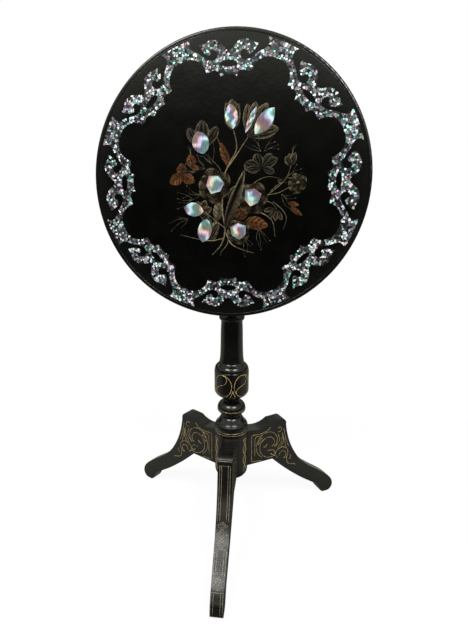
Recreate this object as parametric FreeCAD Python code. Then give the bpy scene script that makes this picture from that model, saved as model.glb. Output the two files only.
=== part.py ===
import FreeCAD, Part
import math
import os

# Tilt-top pedestal table: a lacquered round top with shell inlay tips on a turned pillar with three legs.
# The pillar axis is Z, the floor is z = 0 and the front is -Y. The top is built lying flat and then tipped
# up, because it rests upright, with its face to the front.

# Main sizes
table_height = 733.0        # floor to the face of the top when it lies flat
top_diameter = 510.0
top_thickness = 14.0
pivot_drop = 11.0           # pivot axis below the underside of the top
pivot_setback = 58.0        # pivot axis in front of the pillar axis
leg_reach = 286.0           # pillar axis to the tip of a toe
leg_height = 233.0          # floor to the top of a knee
leg_count = 3
front_leg_angle = -90

# Clearances
overrun = 5.0               # how far a cutter runs past the face it cuts
glue_line = 0.05            # between pieces glued or pressed together
running_gap = 0.06          # radial, pivot pin in its bearer
rest_gap = 0.3              # block to the underside of the top, flat and upright
slide_gap = 0.2             # catch bolt in its case
side_gap = 0.5              # block to each bearer

# Top panel
nose_radius = 4.0           # round on the upper edge of the rim
under_chamfer = 3.0
rim_groove_inset = 7.0      # edge to the middle of the fine turned groove
rim_groove_width = 1.6
rim_groove_depth = 0.7

# Shell inlay
shell_thickness = 0.5
inlay_gap = 0.6             # lacquer left between neighbouring inlays
cartouche_count = 8
# Outlines of the border: share of half a repeat, from the piece's middle line, and share of the top's radius
split_share = 0.356         # where a cartouche meets the arms beside it
bowl_shares = ((0, 0.703), (0.089, 0.706), (0.204, 0.694), (0.249, 0.728), (split_share, 0.738))
hollow_shares = ((split_share, 0.798), (0.311, 0.801), (0.253, 0.815), (0.240, 0.838), (0.280, 0.860),
                 (0.333, 0.861), (0.369, 0.846), (0.427, 0.836))
curl_back_shares = ((0.427, 0.836), (0.498, 0.856), (0.542, 0.886), (0.573, 0.915))
curl_top_shares = ((0.573, 0.915), (0.467, 0.913), (0.364, 0.926), (0.249, 0.921), (0.151, 0.900),
                   (0.080, 0.868), (0, 0.848))
eye_height_share = 0.773
eye_shares = (0.058, 0.021)
crown_shares = ((0, 0.960), (0.155, 0.960), (0.307, 0.960))
arm_shares = ((0.307, 0.960), (0.253, 0.938), (0.253, 0.908), (0.311, 0.882), (0.391, 0.860),
              (0.471, 0.832), (0.542, 0.812), (1 - split_share, 0.799))
foot_shares = ((1 - split_share, 0.740), (0.560, 0.731), (0.458, 0.736))
lobe_shares = ((0.458, 0.736), (0.330, 0.819), (0, 0.852))

# Shell petals: place across and up, length and width as shares of the top's radius, then a share of a turn
petal_shares = (
    (-0.200, 0.268, 0.155, 0.118, 0.30),
    (0.020, 0.436, 0.165, 0.090, 0.27),
    (0.250, 0.400, 0.215, 0.100, 0.145),
    (0.155, 0.410, 0.190, 0.038, 0.185),
    (-0.256, -0.195, 0.145, 0.098, 0.47),
    (-0.176, -0.348, 0.172, 0.104, 0.72),
)

# Faceted shell pieces: place across and up and radius as shares of the top's radius, then a share of a turn
facet_shares = (
    (-0.098, -0.018, 0.070, 0.02),
    (0.174, -0.108, 0.066, 0.05),
    (0.076, -0.350, 0.063, 0.10),
)
facet_corner_shares = (1.00, 0.90, 1.06, 0.92, 1.02, 0.88)

# Bearers under the top
bearer_length = 380.0
bearer_width = 24.0
bearer_depth = 26.0
bearer_end_depth = 9.0
bearer_slope_length = 70.0
bearer_screw_spread = 92.0  # outer screws from the middle of the bearer
bearer_screw_bite = 8.0     # thread that enters the top

# Pivot block and its pins
block_half_width = 78.0
block_back = 62.0           # pillar axis to the rear face of the block
block_thickness = 28.0
block_chamfer = 7.0
pin_radius = 5.0
pin_in_block = 26.0
pin_in_bearer = 16.0

# Catch under the top, keeper on the block
keeper_half_width = 22.0
keeper_height = 18.0
keeper_thickness = 1.6
keeper_lip = 2.2            # brass above the slot
keeper_to_case = 2.4
nose_half_width = 6.0
nose_height = 4.0
nose_engagement = 5.0       # nose past the rear face of the block
nose_bevel_height = 2.6
nose_bevel_length = 4.0
nose_fit = 0.3
bolt_half_width = 7.0
bolt_height = 6.0
bolt_length = 30.0
bolt_travel = 8.0
case_half_width = 12.0
case_wall = 2.1
case_rear_wall = 4.0
tail_room = 3.0             # left behind the bolt when it is drawn back
flange_half_width = 20.0
flange_thickness = 2.4
flange_tail = 4.0
stem_radius = 2.4
stem_inset = 5.0            # front of the bolt bar to the stem
stem_socket = 3.0
stem_length = 12.0          # below the bolt
knob_radius = 6.5
knob_height = 10.0
spring_radius = 1.5         # axis of the wire
wire_radius = 0.3
spring_turns = 10
spring_bore_gap = 0.2
spring_bore_depth = 20.0

# Wood screws: head radius, shank radius and length
bearer_screw = (4.6, 2.3, 32.0)
catch_screw = (2.9, 1.5, 10.0)
keeper_screw = (2.9, 1.5, 13.0)
screw_slot_width = 0.8
screw_slot_depth = 0.9

# Pillar, from the floor up
hub_base = 114.0            # floor to the underside of the hub
hub_height = 108.0
hub_radius = 37.4
hub_round = 18.0
knop_section_height = 77.0
knop_radius = 31.9
neck_radius = 18.4
drum_section_height = 92.0
drum_radius = 38.2
shaft_foot_radius = 27.3
shaft_waist_radius = 23.3
collar_radius = 27.7
collar_height = 13.0
collar_lift = 93.0          # foot of the shaft to the underside of its collar
upper_radius = 21.0         # shaft above its collar
capital_radius = 33.0
capital_height = 24.0
hub_spigot = (16.0, 40.0)   # radius and length of each turned spigot
knop_spigot = (10.0, 24.0)
drum_spigot = (14.0, 30.0)
spigot_end_gap = 0.5
block_tenon_radius = 15.0
swell_shares = ((1.0, 0.0), (0.74, 0.06), (0.48, 0.20), (0.28, 0.52), (0.0, 0.93))
capital_shares = ((0.0, 0.0), (0.30, 0.55), (1.0, 0.80))
taper_shares = ((0.0, 0.035), (0.12, 0.080), (0.47, 0.130), (0.79, 0.185), (0.95, 0.240), (1.0, 0.31))
drum_step_share = 0.79
ovolo_shares = ((0.93, 0.805), (0.88, 0.850), (0.62, 0.905), (0.12, 0.955))
ring_shares = ((1.0, 0.0), (1.0, 0.12), (0.975, 0.12), (0.975, 0.145))
bead_shares = ((0.975, 0.145), (0.995, 0.225), (0.920, 0.315))
bell_shares = ((0.880, 0.325), (0.790, 0.385), (0.715, 0.445), (0.640, 0.495), (0.530, 0.530))
knop_under_shares = ((0.630, 0.585), (0.800, 0.630), (0.960, 0.685), (1.0, 0.740))
knop_dome_shares = ((0.985, 0.815), (0.930, 0.870), (0.800, 0.935), (0.640, 0.978))
wedge_thickness = 3.0
wedge_tip = 1.2
wedge_depth = 22.0

# Legs
leg_thickness = 34.0        # beside the hub
toe_thickness = 24.0
leg_under = 134.0           # floor to the straight underside beside the hub
tail_length = 15.0
tail_lap = 1.5              # dovetail run on into the leg
tail_neck_half = 8.0
tail_end_half = 11.0

# Leg outline: shares of the reach and of the leg height, hub to knee to toe and back under to the hub
knee_rise_shares = ((0.175, 0.944), (0.235, 0.940), (0.293, 0.958), (0.338, 0.990))
knee_corner_shares = ((0.432, 1.000), (0.467, 0.984), (0.480, 0.930))
shin_shares = ((0.493, 0.840), (0.520, 0.728), (0.572, 0.596), (0.649, 0.468), (0.742, 0.371), (0.832, 0.295))
toe_shares = ((0.903, 0.233), (0.962, 0.170), (0.995, 0.105), (0.998, 0.055), (0.981, 0.018), (0.945, 0.000))
heel_shares = ((0.910, 0.000), (0.873, 0.022), (0.853, 0.060), (0.836, 0.096), (0.808, 0.134))
arch_under_shares = ((0.750, 0.182), (0.665, 0.252), (0.560, 0.350), (0.460, 0.453), (0.395, 0.527))
crotch_share = 0.354

# Places worked out from the sizes above
top_radius = top_diameter / 2
underside = table_height - top_thickness
pivot_height = underside - pivot_drop
block_top = underside - rest_gap
block_bottom = block_top - block_thickness
block_front = -(pivot_setback + pivot_drop - rest_gap)
bearer_inner = block_half_width + side_gap
hub_top = hub_base + hub_height
knop_top = hub_top + knop_section_height
drum_top = knop_top + drum_section_height
case_front = block_back + keeper_thickness + keeper_to_case
bolt_front = case_front + slide_gap
bolt_top = underside - rest_gap - keeper_lip - nose_fit
bolt_middle = bolt_top - bolt_height / 2
case_inner_end = bolt_front + bolt_length + bolt_travel + tail_room
case_end = case_inner_end + case_rear_wall
case_bottom = bolt_top - bolt_height - slide_gap - case_wall
stem_place = bolt_front + stem_inset

ORIGIN = FreeCAD.Vector(0, 0, 0)
ACROSS = FreeCAD.Vector(1, 0, 0)
UP = FreeCAD.Vector(0, 0, 1)
DOWN = FreeCAD.Vector(0, 0, -1)
FRONT = FreeCAD.Vector(0, -1, 0)


# Drawing helpers

def vec(x, y, z=0):
    return FreeCAD.Vector(x, y, z)


def stroke(points):
    """A line through two points, an arc through three, a smooth curve through more."""
    if len(points) == 2:
        return Part.LineSegment(*points).toShape()
    if len(points) == 3:
        return Part.Arc(*points).toShape()
    curve = Part.BSplineCurve()
    curve.interpolate(points)
    return curve.toShape()


def outline(strokes):
    return Part.Face(Part.Wire([stroke(points) for points in strokes]))


def turned(strokes):
    """Strokes of (radius, height) pairs, closed on the axis and turned about Z."""
    drawn = [[vec(radius, 0, height) for radius, height in points] for points in strokes]
    return outline(drawn).revolve(ORIGIN, UP, 360)


def chain(*points):
    """Straight strokes from point to point."""
    return [list(pair) for pair in zip(points, points[1:])]


def block(x0, x1, y0, y1, z0, z1):
    return Part.makeBox(x1 - x0, y1 - y0, z1 - z0, vec(x0, y0, z0))


def rod(radius, start, direction, length):
    return Part.makeCylinder(radius, length, start, direction)


def rotated(shape, angle, centre=ORIGIN, axis=UP):
    turned_copy = shape.copy()
    turned_copy.rotate(centre, axis, angle)
    return turned_copy


def mirrored(shape):
    return shape.mirror(ORIGIN, ACROSS)


def fused(shapes):
    return shapes[0].multiFuse(shapes[1:]).removeSplitter()


def tipped_up(shape):
    """From the flat pose to the upright rest pose."""
    return rotated(shape, 90, vec(0, -pivot_setback, pivot_height), ACROSS)


# Wood screws

def screw_body(screw, place, direction, grow):
    """Countersunk head, shank and point, its head flush at the place given."""
    head, shank, length = screw
    head_height = head - shank
    cone = Part.makeCone(head + grow, shank + grow, head_height, place, direction)
    neck = place + direction * head_height
    shank_rod = rod(shank + grow, neck, direction, length - head_height - shank)
    tip = Part.makeCone(shank + grow, 0, shank + grow, place + direction * (length - shank), direction)
    return fused([cone, shank_rod, tip])


def screw_piece(screw, place, direction):
    head = screw[0]
    slot = Part.makeBox(2 * head, screw_slot_width, 2 * screw_slot_depth)
    slot.translate(vec(-head, -screw_slot_width / 2, -screw_slot_depth))
    slot.Placement = FreeCAD.Placement(place, FreeCAD.Rotation(UP, direction)).multiply(slot.Placement)
    return screw_body(screw, place, direction, 0).cut(slot)


def screw_holes(screw, places, direction):
    return [screw_body(screw, place, direction, glue_line) for place in places]


def screw_group(screw, places, direction):
    return Part.makeCompound([screw_piece(screw, place, direction) for place in places])


# Shell inlay, drawn on the face of the flat top

def inlay(face):
    face.translate(vec(0, 0, table_height - shell_thickness))
    return face.extrude(vec(0, 0, shell_thickness))


def oval(centre_x, centre_y, half_length, half_height, grow=0):
    ring = Part.Ellipse(vec(centre_x, centre_y), half_length + grow, half_height + grow)
    return inlay(Part.Face(Part.Wire(ring.toShape())))


def polar(centre, radius, angle):
    turn = math.radians(angle)
    return centre + vec(radius * math.cos(turn), radius * math.sin(turn))


def border_points(shares):
    half_step = 180 / cartouche_count
    return [polar(ORIGIN, radius * top_radius, 90 - share * half_step) for share, radius in shares]


def both_sides(strokes):
    """A right-hand outline that starts and ends on the middle line, with its mirror image."""
    left = [[vec(-p.x, p.y) for p in reversed(points)] for points in reversed(strokes)]
    return inlay(outline(strokes + left))


def shell_cartouche():
    """A bowl with an eye, and the two curls that spring from the neck above it."""
    bowl = border_points(bowl_shares)
    hollow = border_points(hollow_shares)
    curl = [border_points(curl_back_shares), border_points(curl_top_shares)]
    eye = oval(0, eye_height_share * top_radius, *[share * top_radius for share in eye_shares])
    return both_sides(chain(*bowl, hollow[0]) + [hollow] + curl).cut(eye)


def shell_arch():
    """The dense piece near the rim, with the two arms that run round a lobe of the centre field."""
    crown, arm, foot, lobe = [border_points(s) for s in (crown_shares, arm_shares, foot_shares, lobe_shares)]
    arch = both_sides([crown, arm] + chain(arm[-1], *foot) + [lobe])
    split = block(-inlay_gap, inlay_gap, 0, top_radius, 0, table_height + overrun)
    angle = (1 - split_share) * 180 / cartouche_count
    return arch.cut([rotated(split, angle), rotated(split, -angle)])


def shell_border():
    """One group for each repeat of the border: a cartouche and the arch beside it."""
    step = 360 / cartouche_count
    group = [shell_cartouche(), rotated(shell_arch(), step / 2)]
    return [[rotated(shape, step * n) for shape in group] for n in range(cartouche_count)]


def shell_petal(across, up, length, width, turn):
    """A leaf shape between two arcs, pointing along its turn."""
    half_length = length * top_radius / 2
    half_width = width * top_radius / 2
    tip = vec(half_length, 0)
    foot = vec(-half_length, 0)
    petal = inlay(outline([[foot, vec(0, half_width), tip], [tip, vec(0, -half_width), foot]]))
    petal.rotate(ORIGIN, UP, 360 * turn)
    petal.translate(vec(across * top_radius, up * top_radius))
    return petal


def shell_facet(across, up, radius, turn):
    """An uneven polygon with straight sides, as cut with shears."""
    centre = vec(across * top_radius, up * top_radius)
    step = 360 / len(facet_corner_shares)
    corners = [polar(centre, radius * top_radius * share, 360 * turn + step * n)
               for n, share in enumerate(facet_corner_shares)]
    return inlay(outline(chain(*corners, corners[0])))


def shell_petals():
    return [shell_petal(*row) for row in petal_shares] + [shell_facet(*row) for row in facet_shares]


# Top panel, bearers and their screws, in the flat pose

def bearer_screw_places():
    ends = (-bearer_screw_spread, 0, bearer_screw_spread)
    head = underside + bearer_screw_bite - bearer_screw[2]
    middle = bearer_inner + bearer_width / 2
    return [vec(side * middle, y, head) for side in (-1, 1) for y in ends]


def catch_screw_places():
    across = (case_half_width + flange_half_width) / 2
    head = underside - flange_thickness
    ends = (case_front + catch_screw[0] + flange_tail, case_end)
    return [vec(side * across, y, head) for side in (-1, 1) for y in ends]


def top_panel(inlays):
    rim = top_radius
    face = table_height
    groove_outer = rim - rim_groove_inset + rim_groove_width / 2
    groove_inner = groove_outer - rim_groove_width
    groove_middle = rim - rim_groove_inset
    shoulder = nose_radius * (1 - math.sqrt(0.5))
    panel = turned(
        chain((0, underside), (rim - under_chamfer, underside), (rim, underside + under_chamfer),
              (rim, face - nose_radius))
        + [[(rim, face - nose_radius), (rim - shoulder, face - shoulder), (rim - nose_radius, face)]]
        + chain((rim - nose_radius, face), (groove_outer, face))
        + [[(groove_outer, face), (groove_middle, face - rim_groove_depth), (groove_inner, face)]]
        + chain((groove_inner, face), (0, face), (0, underside)))
    holes = screw_holes(bearer_screw, bearer_screw_places(), UP)
    holes += screw_holes(catch_screw, catch_screw_places(), UP)
    return panel.cut(inlays + holes)


def bearer():
    """The right-hand bearer, with a sloped underside at each end and a blind hole for its pivot pin."""
    half = bearer_length / 2
    flat = half - bearer_slope_length
    low = underside - bearer_depth
    end = underside - bearer_end_depth
    points = [(-half, underside), (-half, end), (-flat, low), (flat, low), (half, end), (half, underside)]
    side = outline(chain(*[vec(bearer_inner, y, z) for y, z in points + points[:1]]))
    beam = side.extrude(vec(bearer_width, 0, 0))
    pin_hole_start = vec(bearer_inner - overrun, -pivot_setback, pivot_height)
    pin_hole = rod(pin_radius + running_gap, pin_hole_start, ACROSS, overrun + side_gap + pin_in_bearer)
    right_places = [place for place in bearer_screw_places() if place.x > 0]
    return beam.cut([pin_hole] + screw_holes(bearer_screw, right_places, UP) + head_wells(right_places))


def head_wells(places):
    """Round wells that let the screw heads lie below the bearer's underside."""
    radius = bearer_screw[0] + glue_line
    return [rod(radius, place, DOWN, overrun) for place in places]


# Catch under the top, in the flat pose

def catch_case():
    flange = block(-flange_half_width, flange_half_width, case_front, case_end + flange_tail,
                   underside - flange_thickness, underside)
    body = block(-case_half_width, case_half_width, case_front, case_end, case_bottom, underside)
    cavity_half = bolt_half_width + slide_gap
    cavity = block(-cavity_half, cavity_half, case_front - overrun, case_inner_end,
                   bolt_top - bolt_height - slide_gap, bolt_top + slide_gap)
    slot_half = stem_radius + slide_gap
    slot = block(-slot_half, slot_half, stem_place - slot_half, stem_place + bolt_travel + slot_half,
                 case_bottom - overrun, bolt_middle)
    screws = screw_holes(catch_screw, catch_screw_places(), UP)
    return fused([flange, body]).cut([cavity, slot] + screws)


def catch_bolt():
    """A bar with a bevelled nose, bored at its tail for the spring and below for the knob's stem."""
    tail = bolt_front + bolt_length
    bar = block(-bolt_half_width, bolt_half_width, bolt_front, tail, bolt_top - bolt_height, bolt_top)
    tip = block_back - nose_engagement
    nose_bottom = bolt_top - nose_height
    corners = [(tip, bolt_top), (tip, nose_bottom + nose_bevel_height),
               (tip + nose_bevel_length, nose_bottom), (bolt_front, nose_bottom), (bolt_front, bolt_top)]
    side = outline(chain(*[vec(-nose_half_width, y, z) for y, z in corners + corners[:1]]))
    nose = side.extrude(vec(2 * nose_half_width, 0, 0))
    bore_radius = spring_radius + wire_radius + spring_bore_gap
    bore = rod(bore_radius, vec(0, tail, bolt_middle), FRONT, spring_bore_depth)
    stem_mouth = vec(0, stem_place, bolt_top - bolt_height)
    stem_hole = rod(stem_radius + glue_line, stem_mouth, UP, stem_socket + glue_line)
    return fused([bar, nose]).cut([bore, stem_hole])


def catch_knob():
    """A turned thumb knob on a stem that passes through the slot in the case."""
    stem_top = bolt_top - bolt_height + stem_socket
    knob_top = bolt_top - bolt_height - stem_length
    knob_low = knob_top - knob_height
    waist = (knob_top + knob_low) / 2
    rim = stem_radius + (knob_radius - stem_radius) / 2
    knob = turned(
        chain((0, knob_low), (rim, knob_low))
        + [[(rim, knob_low), (knob_radius, waist), (stem_radius, knob_top)]]
        + chain((stem_radius, knob_top), (stem_radius, stem_top), (0, stem_top), (0, knob_low)))
    knob.translate(vec(0, stem_place))
    return knob


def catch_spring():
    """A coil from the end of the bolt's bore to the rear wall of the case."""
    start = bolt_front + bolt_length - spring_bore_depth
    length = case_inner_end - start - 2 * wire_radius
    helix = Part.makeHelix(length / spring_turns, length, spring_radius)
    section = Part.Wire(Part.Circle(vec(spring_radius, 0), vec(0, 1), wire_radius).toShape())
    coil = Part.Wire(helix.Edges).makePipeShell([section], True, True)
    coil.rotate(ORIGIN, ACROSS, -90)
    coil.translate(vec(0, start + wire_radius, bolt_middle))
    return coil


def keeper_screw_places():
    across = (keeper_half_width + nose_half_width) / 2
    face = block_back + keeper_thickness
    return [vec(side * across, face, block_top - keeper_height / 2) for side in (-1, 1)]


def keeper_plate():
    plate = block(-keeper_half_width, keeper_half_width, block_back, block_back + keeper_thickness,
                  block_top - keeper_height, block_top)
    return plate.cut([keeper_slot()] + screw_holes(keeper_screw, keeper_screw_places(), FRONT))


def keeper_slot():
    """The mouth for the catch's nose, through the plate and into the block."""
    half = nose_half_width + nose_fit
    slot_end = block_back - nose_engagement - nose_fit
    return block(-half, half, slot_end, block_back + keeper_thickness + overrun,
                 bolt_top - nose_height - nose_fit, bolt_top + nose_fit)


# Pivot block, pins and wedge

def pin_start(side):
    return vec(side * (block_half_width - pin_in_block), -pivot_setback, pivot_height)


def pivot_block():
    """A board whose upper front edge is rounded about the pivot, so that the top can turn past it."""
    front_top = block_top - pivot_height
    mid = front_top * math.sqrt(0.5)
    bevel_top = block_bottom + block_chamfer
    nose = [(block_front, pivot_height), (-pivot_setback - mid, pivot_height + mid),
            (-pivot_setback, block_top)]
    edges = chain(nose[-1], (block_back, block_top), (block_back, bevel_top),
                  (block_back - block_chamfer, block_bottom), (block_front + block_chamfer, block_bottom),
                  (block_front, bevel_top), nose[0])
    section = [[vec(0, y, z) for y, z in points] for points in [nose] + edges]
    board = outline(section).extrude(vec(2 * block_half_width, 0, 0))
    board.translate(vec(-block_half_width, 0, 0))
    tenon_hole_start = vec(0, 0, block_bottom - overrun)
    tenon_hole = rod(block_tenon_radius + glue_line, tenon_hole_start, UP, block_thickness + 2 * overrun)
    cuts = [keeper_slot(), tenon_hole]
    for side in (-1, 1):
        cuts.append(rod(pin_radius + glue_line, pin_start(side), ACROSS * side, pin_in_block + overrun))
    return board.cut(cuts + screw_holes(keeper_screw, keeper_screw_places(), FRONT))


def pivot_pin(side):
    return rod(pin_radius, pin_start(side), ACROSS * side, pin_in_block + side_gap + pin_in_bearer)


def wedge_section(grow):
    half_top = wedge_thickness / 2 + grow
    half_tip = wedge_tip / 2 + grow
    low = block_top - wedge_depth - grow
    corners = [(-half_top, block_top), (-half_tip, low), (half_tip, low), (half_top, block_top)]
    return outline(chain(*[vec(x, 0, z) for x, z in corners + corners[:1]]))


def tenon_wedge():
    """A tapered wedge across the tenon, trimmed round with it."""
    long_wedge = wedge_section(0).extrude(vec(0, 2 * block_tenon_radius, 0))
    long_wedge.translate(vec(0, -block_tenon_radius, 0))
    return long_wedge.common(rod(block_tenon_radius, vec(0, 0, block_bottom), UP, block_thickness))


# Turned pillar

def column_shaft():
    """Tapered shaft with a collar, a flared capital under the block, a tenon above and a spigot below."""
    foot = drum_top
    collar_low = foot + collar_lift
    collar_top = collar_low + collar_height
    cap_low = block_bottom - capital_height
    spigot_radius, spigot_length = drum_spigot
    swell = shaft_foot_radius - shaft_waist_radius
    lower = [(shaft_waist_radius + swell * r, foot + collar_lift * z) for r, z in swell_shares]
    collar_foot = (shaft_waist_radius, collar_low)
    collar_mid = (collar_radius, (collar_low + collar_top) / 2)
    collar_head = (shaft_waist_radius, collar_top)
    spread = capital_radius - upper_radius
    flare = [(upper_radius + spread * r, cap_low + capital_height * z) for r, z in capital_shares]
    spigot_low = foot - spigot_length
    shaft = turned(
        chain((0, spigot_low), (spigot_radius, spigot_low), (spigot_radius, foot), lower[0])
        + [lower]
        + chain(lower[-1], collar_foot)
        + [[collar_foot, collar_mid, collar_head]]
        + chain(collar_head, (upper_radius, collar_top + collar_height), flare[0])
        + [flare]
        + chain(flare[2], (capital_radius, block_bottom), (block_tenon_radius, block_bottom),
                (block_tenon_radius, block_top), (0, block_top), (0, spigot_low)))
    kerf = wedge_section(glue_line).extrude(vec(0, 2 * (block_tenon_radius + overrun), 0))
    kerf.translate(vec(0, -block_tenon_radius - overrun, 0))
    return shaft.cut(kerf)


def socket(spigot, top):
    radius, length = spigot
    depth = length + spigot_end_gap
    return rod(radius + glue_line, vec(0, 0, top - depth), UP, depth + overrun)


def drum_section():
    """Neck, tapered underside, straight drum and ovolo shoulder, with a spigot below."""
    spigot_radius, spigot_length = knop_spigot
    spread = drum_radius - neck_radius
    crown = drum_radius - shaft_foot_radius
    taper = [(neck_radius + spread * r, knop_top + drum_section_height * z) for r, z in taper_shares]
    ovolo = [(shaft_foot_radius + crown * r, knop_top + drum_section_height * z) for r, z in ovolo_shares]
    step_height = knop_top + drum_section_height * drum_step_share
    spigot_low = knop_top - spigot_length
    drum = turned(
        chain((0, spigot_low), (spigot_radius, spigot_low), (spigot_radius, knop_top),
              (neck_radius, knop_top), taper[0])
        + [taper]
        + chain(taper[-1], (drum_radius, step_height), (ovolo[0][0], step_height), ovolo[0])
        + [ovolo]
        + chain(ovolo[-1], (shaft_foot_radius, drum_top), (0, drum_top), (0, spigot_low)))
    return drum.cut(socket(drum_spigot, drum_top))


def knop_section():
    """Ring, bead, bell, lower neck and knop up to the drum's neck, with a spigot below."""
    spigot_radius, spigot_length = hub_spigot

    def levels(shares, radius):
        return [(radius * r, hub_top + knop_section_height * z) for r, z in shares]

    ring = levels(ring_shares, hub_radius)
    bead = levels(bead_shares, hub_radius)
    bell = levels(bell_shares, hub_radius)
    under = levels(knop_under_shares, knop_radius)
    dome = levels(knop_dome_shares, knop_radius)
    spigot_low = hub_top - spigot_length
    knop = turned(
        chain((0, spigot_low), (spigot_radius, spigot_low), (spigot_radius, hub_top), *ring)
        + [bead]
        + chain(bead[-1], bell[0])
        + [bell]
        + chain(bell[-1], under[0])
        + [under]
        + chain(under[-1], dome[0])
        + [dome]
        + chain(dome[-1], (neck_radius, knop_top), (0, knop_top), (0, spigot_low)))
    return knop.cut(socket(knop_spigot, knop_top))


def hub():
    """A cylinder with a rounded underside, three dovetail slots and a socket for the pillar."""
    low = hub_base
    inner = hub_radius - hub_round
    shoulder = hub_round * math.sqrt(0.5)
    body = turned(
        chain((0, low), (inner, low))
        + [[(inner, low), (inner + shoulder, low + hub_round - shoulder), (hub_radius, low + hub_round)]]
        + chain((hub_radius, low + hub_round), (hub_radius, hub_top), (0, hub_top), (0, low)))
    slots = [rotated(dovetail(glue_line, overrun), angle) for angle in leg_angles()]
    return body.cut(slots + [socket(hub_spigot, hub_top)])


# Legs, drawn pointing along +X

def leg_angles():
    return [front_leg_angle + 360 / leg_count * n for n in range(leg_count)]


def dovetail(grow, rise):
    """The tail that drops into the hub from above, or its slot when it is grown and raised."""
    inner = hub_radius - tail_length - grow
    outer = hub_radius + tail_lap + rise
    low = leg_under - grow
    neck_half = tail_neck_half + grow
    end_half = tail_end_half + grow
    corners = [(inner, -end_half), (hub_radius, -neck_half), (outer, -neck_half),
               (outer, neck_half), (hub_radius, neck_half), (inner, end_half)]
    plan = outline(chain(*[vec(x, y, low) for x, y in corners + corners[:1]]))
    return plan.extrude(vec(0, 0, hub_top - low + rise))


def leg_points(shares):
    return [vec(leg_reach * reach, 0, leg_height * height) for reach, height in shares]


def leg_blank():
    """The side outline of the leg, sawn to its thickness and tapered towards the toe."""
    start = vec(0, 0, hub_top)
    shoulder = vec(hub_radius, 0, hub_top)
    rise = [shoulder] + leg_points(knee_rise_shares)
    corner = leg_points(knee_corner_shares)
    shin = [corner[-1]] + leg_points(shin_shares) + leg_points(toe_shares)
    heel = leg_points(heel_shares)
    crotch = vec(leg_reach * crotch_share, 0, leg_under)
    arch = [heel[-1]] + leg_points(arch_under_shares) + [crotch]
    root = vec(0, 0, leg_under)
    side = outline([[start, shoulder], rise, [rise[-1], corner[0]], corner, shin, [shin[-1], heel[0]],
                    heel, arch, [crotch, root], [root, start]])
    slab = side.extrude(vec(0, 2 * leg_thickness, 0))
    slab.translate(vec(0, -leg_thickness, 0))
    root_half = leg_thickness / 2
    toe_half = toe_thickness / 2
    narrowing = (root_half - toe_half) / (leg_reach - hub_radius)
    axis_half = root_half + narrowing * hub_radius
    far = leg_reach + overrun
    far_half = toe_half - narrowing * overrun
    corners = [(0, -axis_half), (far, -far_half), (far, far_half), (0, axis_half)]
    plan = outline(chain(*[vec(x, y, -overrun) for x, y in corners + corners[:1]]))
    return slab.common(plan.extrude(vec(0, 0, leg_height + 2 * overrun)))


def leg():
    blank = leg_blank()
    cope = rod(hub_radius + glue_line, vec(0, 0, -overrun), UP, leg_height + 2 * overrun)
    return fused([blank.cut(cope), dovetail(0, 0)])


# All pieces by name

def build():
    border = shell_border()
    petals = shell_petals()
    inlays = [shape for group in border for shape in group] + petals
    right_bearer = bearer()
    flat = {
        "top_panel": top_panel(inlays),
        "shell_petals": Part.makeCompound(petals),
        "bearer_right": right_bearer,
        "bearer_left": mirrored(right_bearer),
        "bearer_screws": screw_group(bearer_screw, bearer_screw_places(), UP),
        "catch_case": catch_case(),
        "catch_bolt": catch_bolt(),
        "catch_knob": catch_knob(),
        "catch_spring": catch_spring(),
        "catch_screws": screw_group(catch_screw, catch_screw_places(), UP),
    }
    for n, group in enumerate(border, start=1):
        flat[f"shell_border_{n}"] = Part.makeCompound(group)
    pieces = {name: tipped_up(shape) for name, shape in flat.items()}
    pieces.update({
        "pivot_block": pivot_block(),
        "pivot_pin_left": pivot_pin(-1),
        "pivot_pin_right": pivot_pin(1),
        "keeper_plate": keeper_plate(),
        "keeper_screws": screw_group(keeper_screw, keeper_screw_places(), FRONT),
        "tenon_wedge": tenon_wedge(),
        "column_shaft": column_shaft(),
        "drum_section": drum_section(),
        "knop_section": knop_section(),
        "hub": hub(),
    })
    plain_leg = leg()
    for name, angle in zip(("leg_front", "leg_right", "leg_left"), leg_angles()):
        pieces[name] = rotated(plain_leg, angle)
    return pieces


os.makedirs("parts", exist_ok=True)
for name, shape in build().items():
    shape.exportStep(f"parts/{name}.step")
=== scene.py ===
import random
from math import cos, log, pi, radians, sin, tau

import bmesh
import bpy
from mathutils import Matrix, Vector
from mathutils.bvhtree import BVHTree

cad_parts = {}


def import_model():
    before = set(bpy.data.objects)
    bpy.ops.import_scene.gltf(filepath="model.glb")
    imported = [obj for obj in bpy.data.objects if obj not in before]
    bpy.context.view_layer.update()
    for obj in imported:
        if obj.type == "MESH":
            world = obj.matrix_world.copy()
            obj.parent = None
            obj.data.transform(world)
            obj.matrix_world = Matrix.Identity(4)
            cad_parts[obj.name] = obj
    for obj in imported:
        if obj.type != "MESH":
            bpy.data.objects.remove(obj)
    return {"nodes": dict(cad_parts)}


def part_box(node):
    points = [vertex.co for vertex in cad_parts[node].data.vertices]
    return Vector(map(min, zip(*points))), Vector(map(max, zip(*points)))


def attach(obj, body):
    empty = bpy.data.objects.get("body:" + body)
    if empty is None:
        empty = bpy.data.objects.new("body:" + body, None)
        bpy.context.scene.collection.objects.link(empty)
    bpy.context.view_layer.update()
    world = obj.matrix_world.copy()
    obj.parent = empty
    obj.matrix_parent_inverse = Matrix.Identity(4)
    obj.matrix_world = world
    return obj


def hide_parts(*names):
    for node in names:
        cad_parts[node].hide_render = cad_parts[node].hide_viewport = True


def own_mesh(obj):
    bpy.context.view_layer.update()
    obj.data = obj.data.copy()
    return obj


# Tilt-top pedestal table in black lacquer, with a shell mosaic border, a painted spray and gilt lines.
# Lengths are in metres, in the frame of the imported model: +Z up, the front is -Y.
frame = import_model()
scene = bpy.context.scene
nodes = frame["nodes"]
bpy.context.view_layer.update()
SEED = 7

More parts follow.
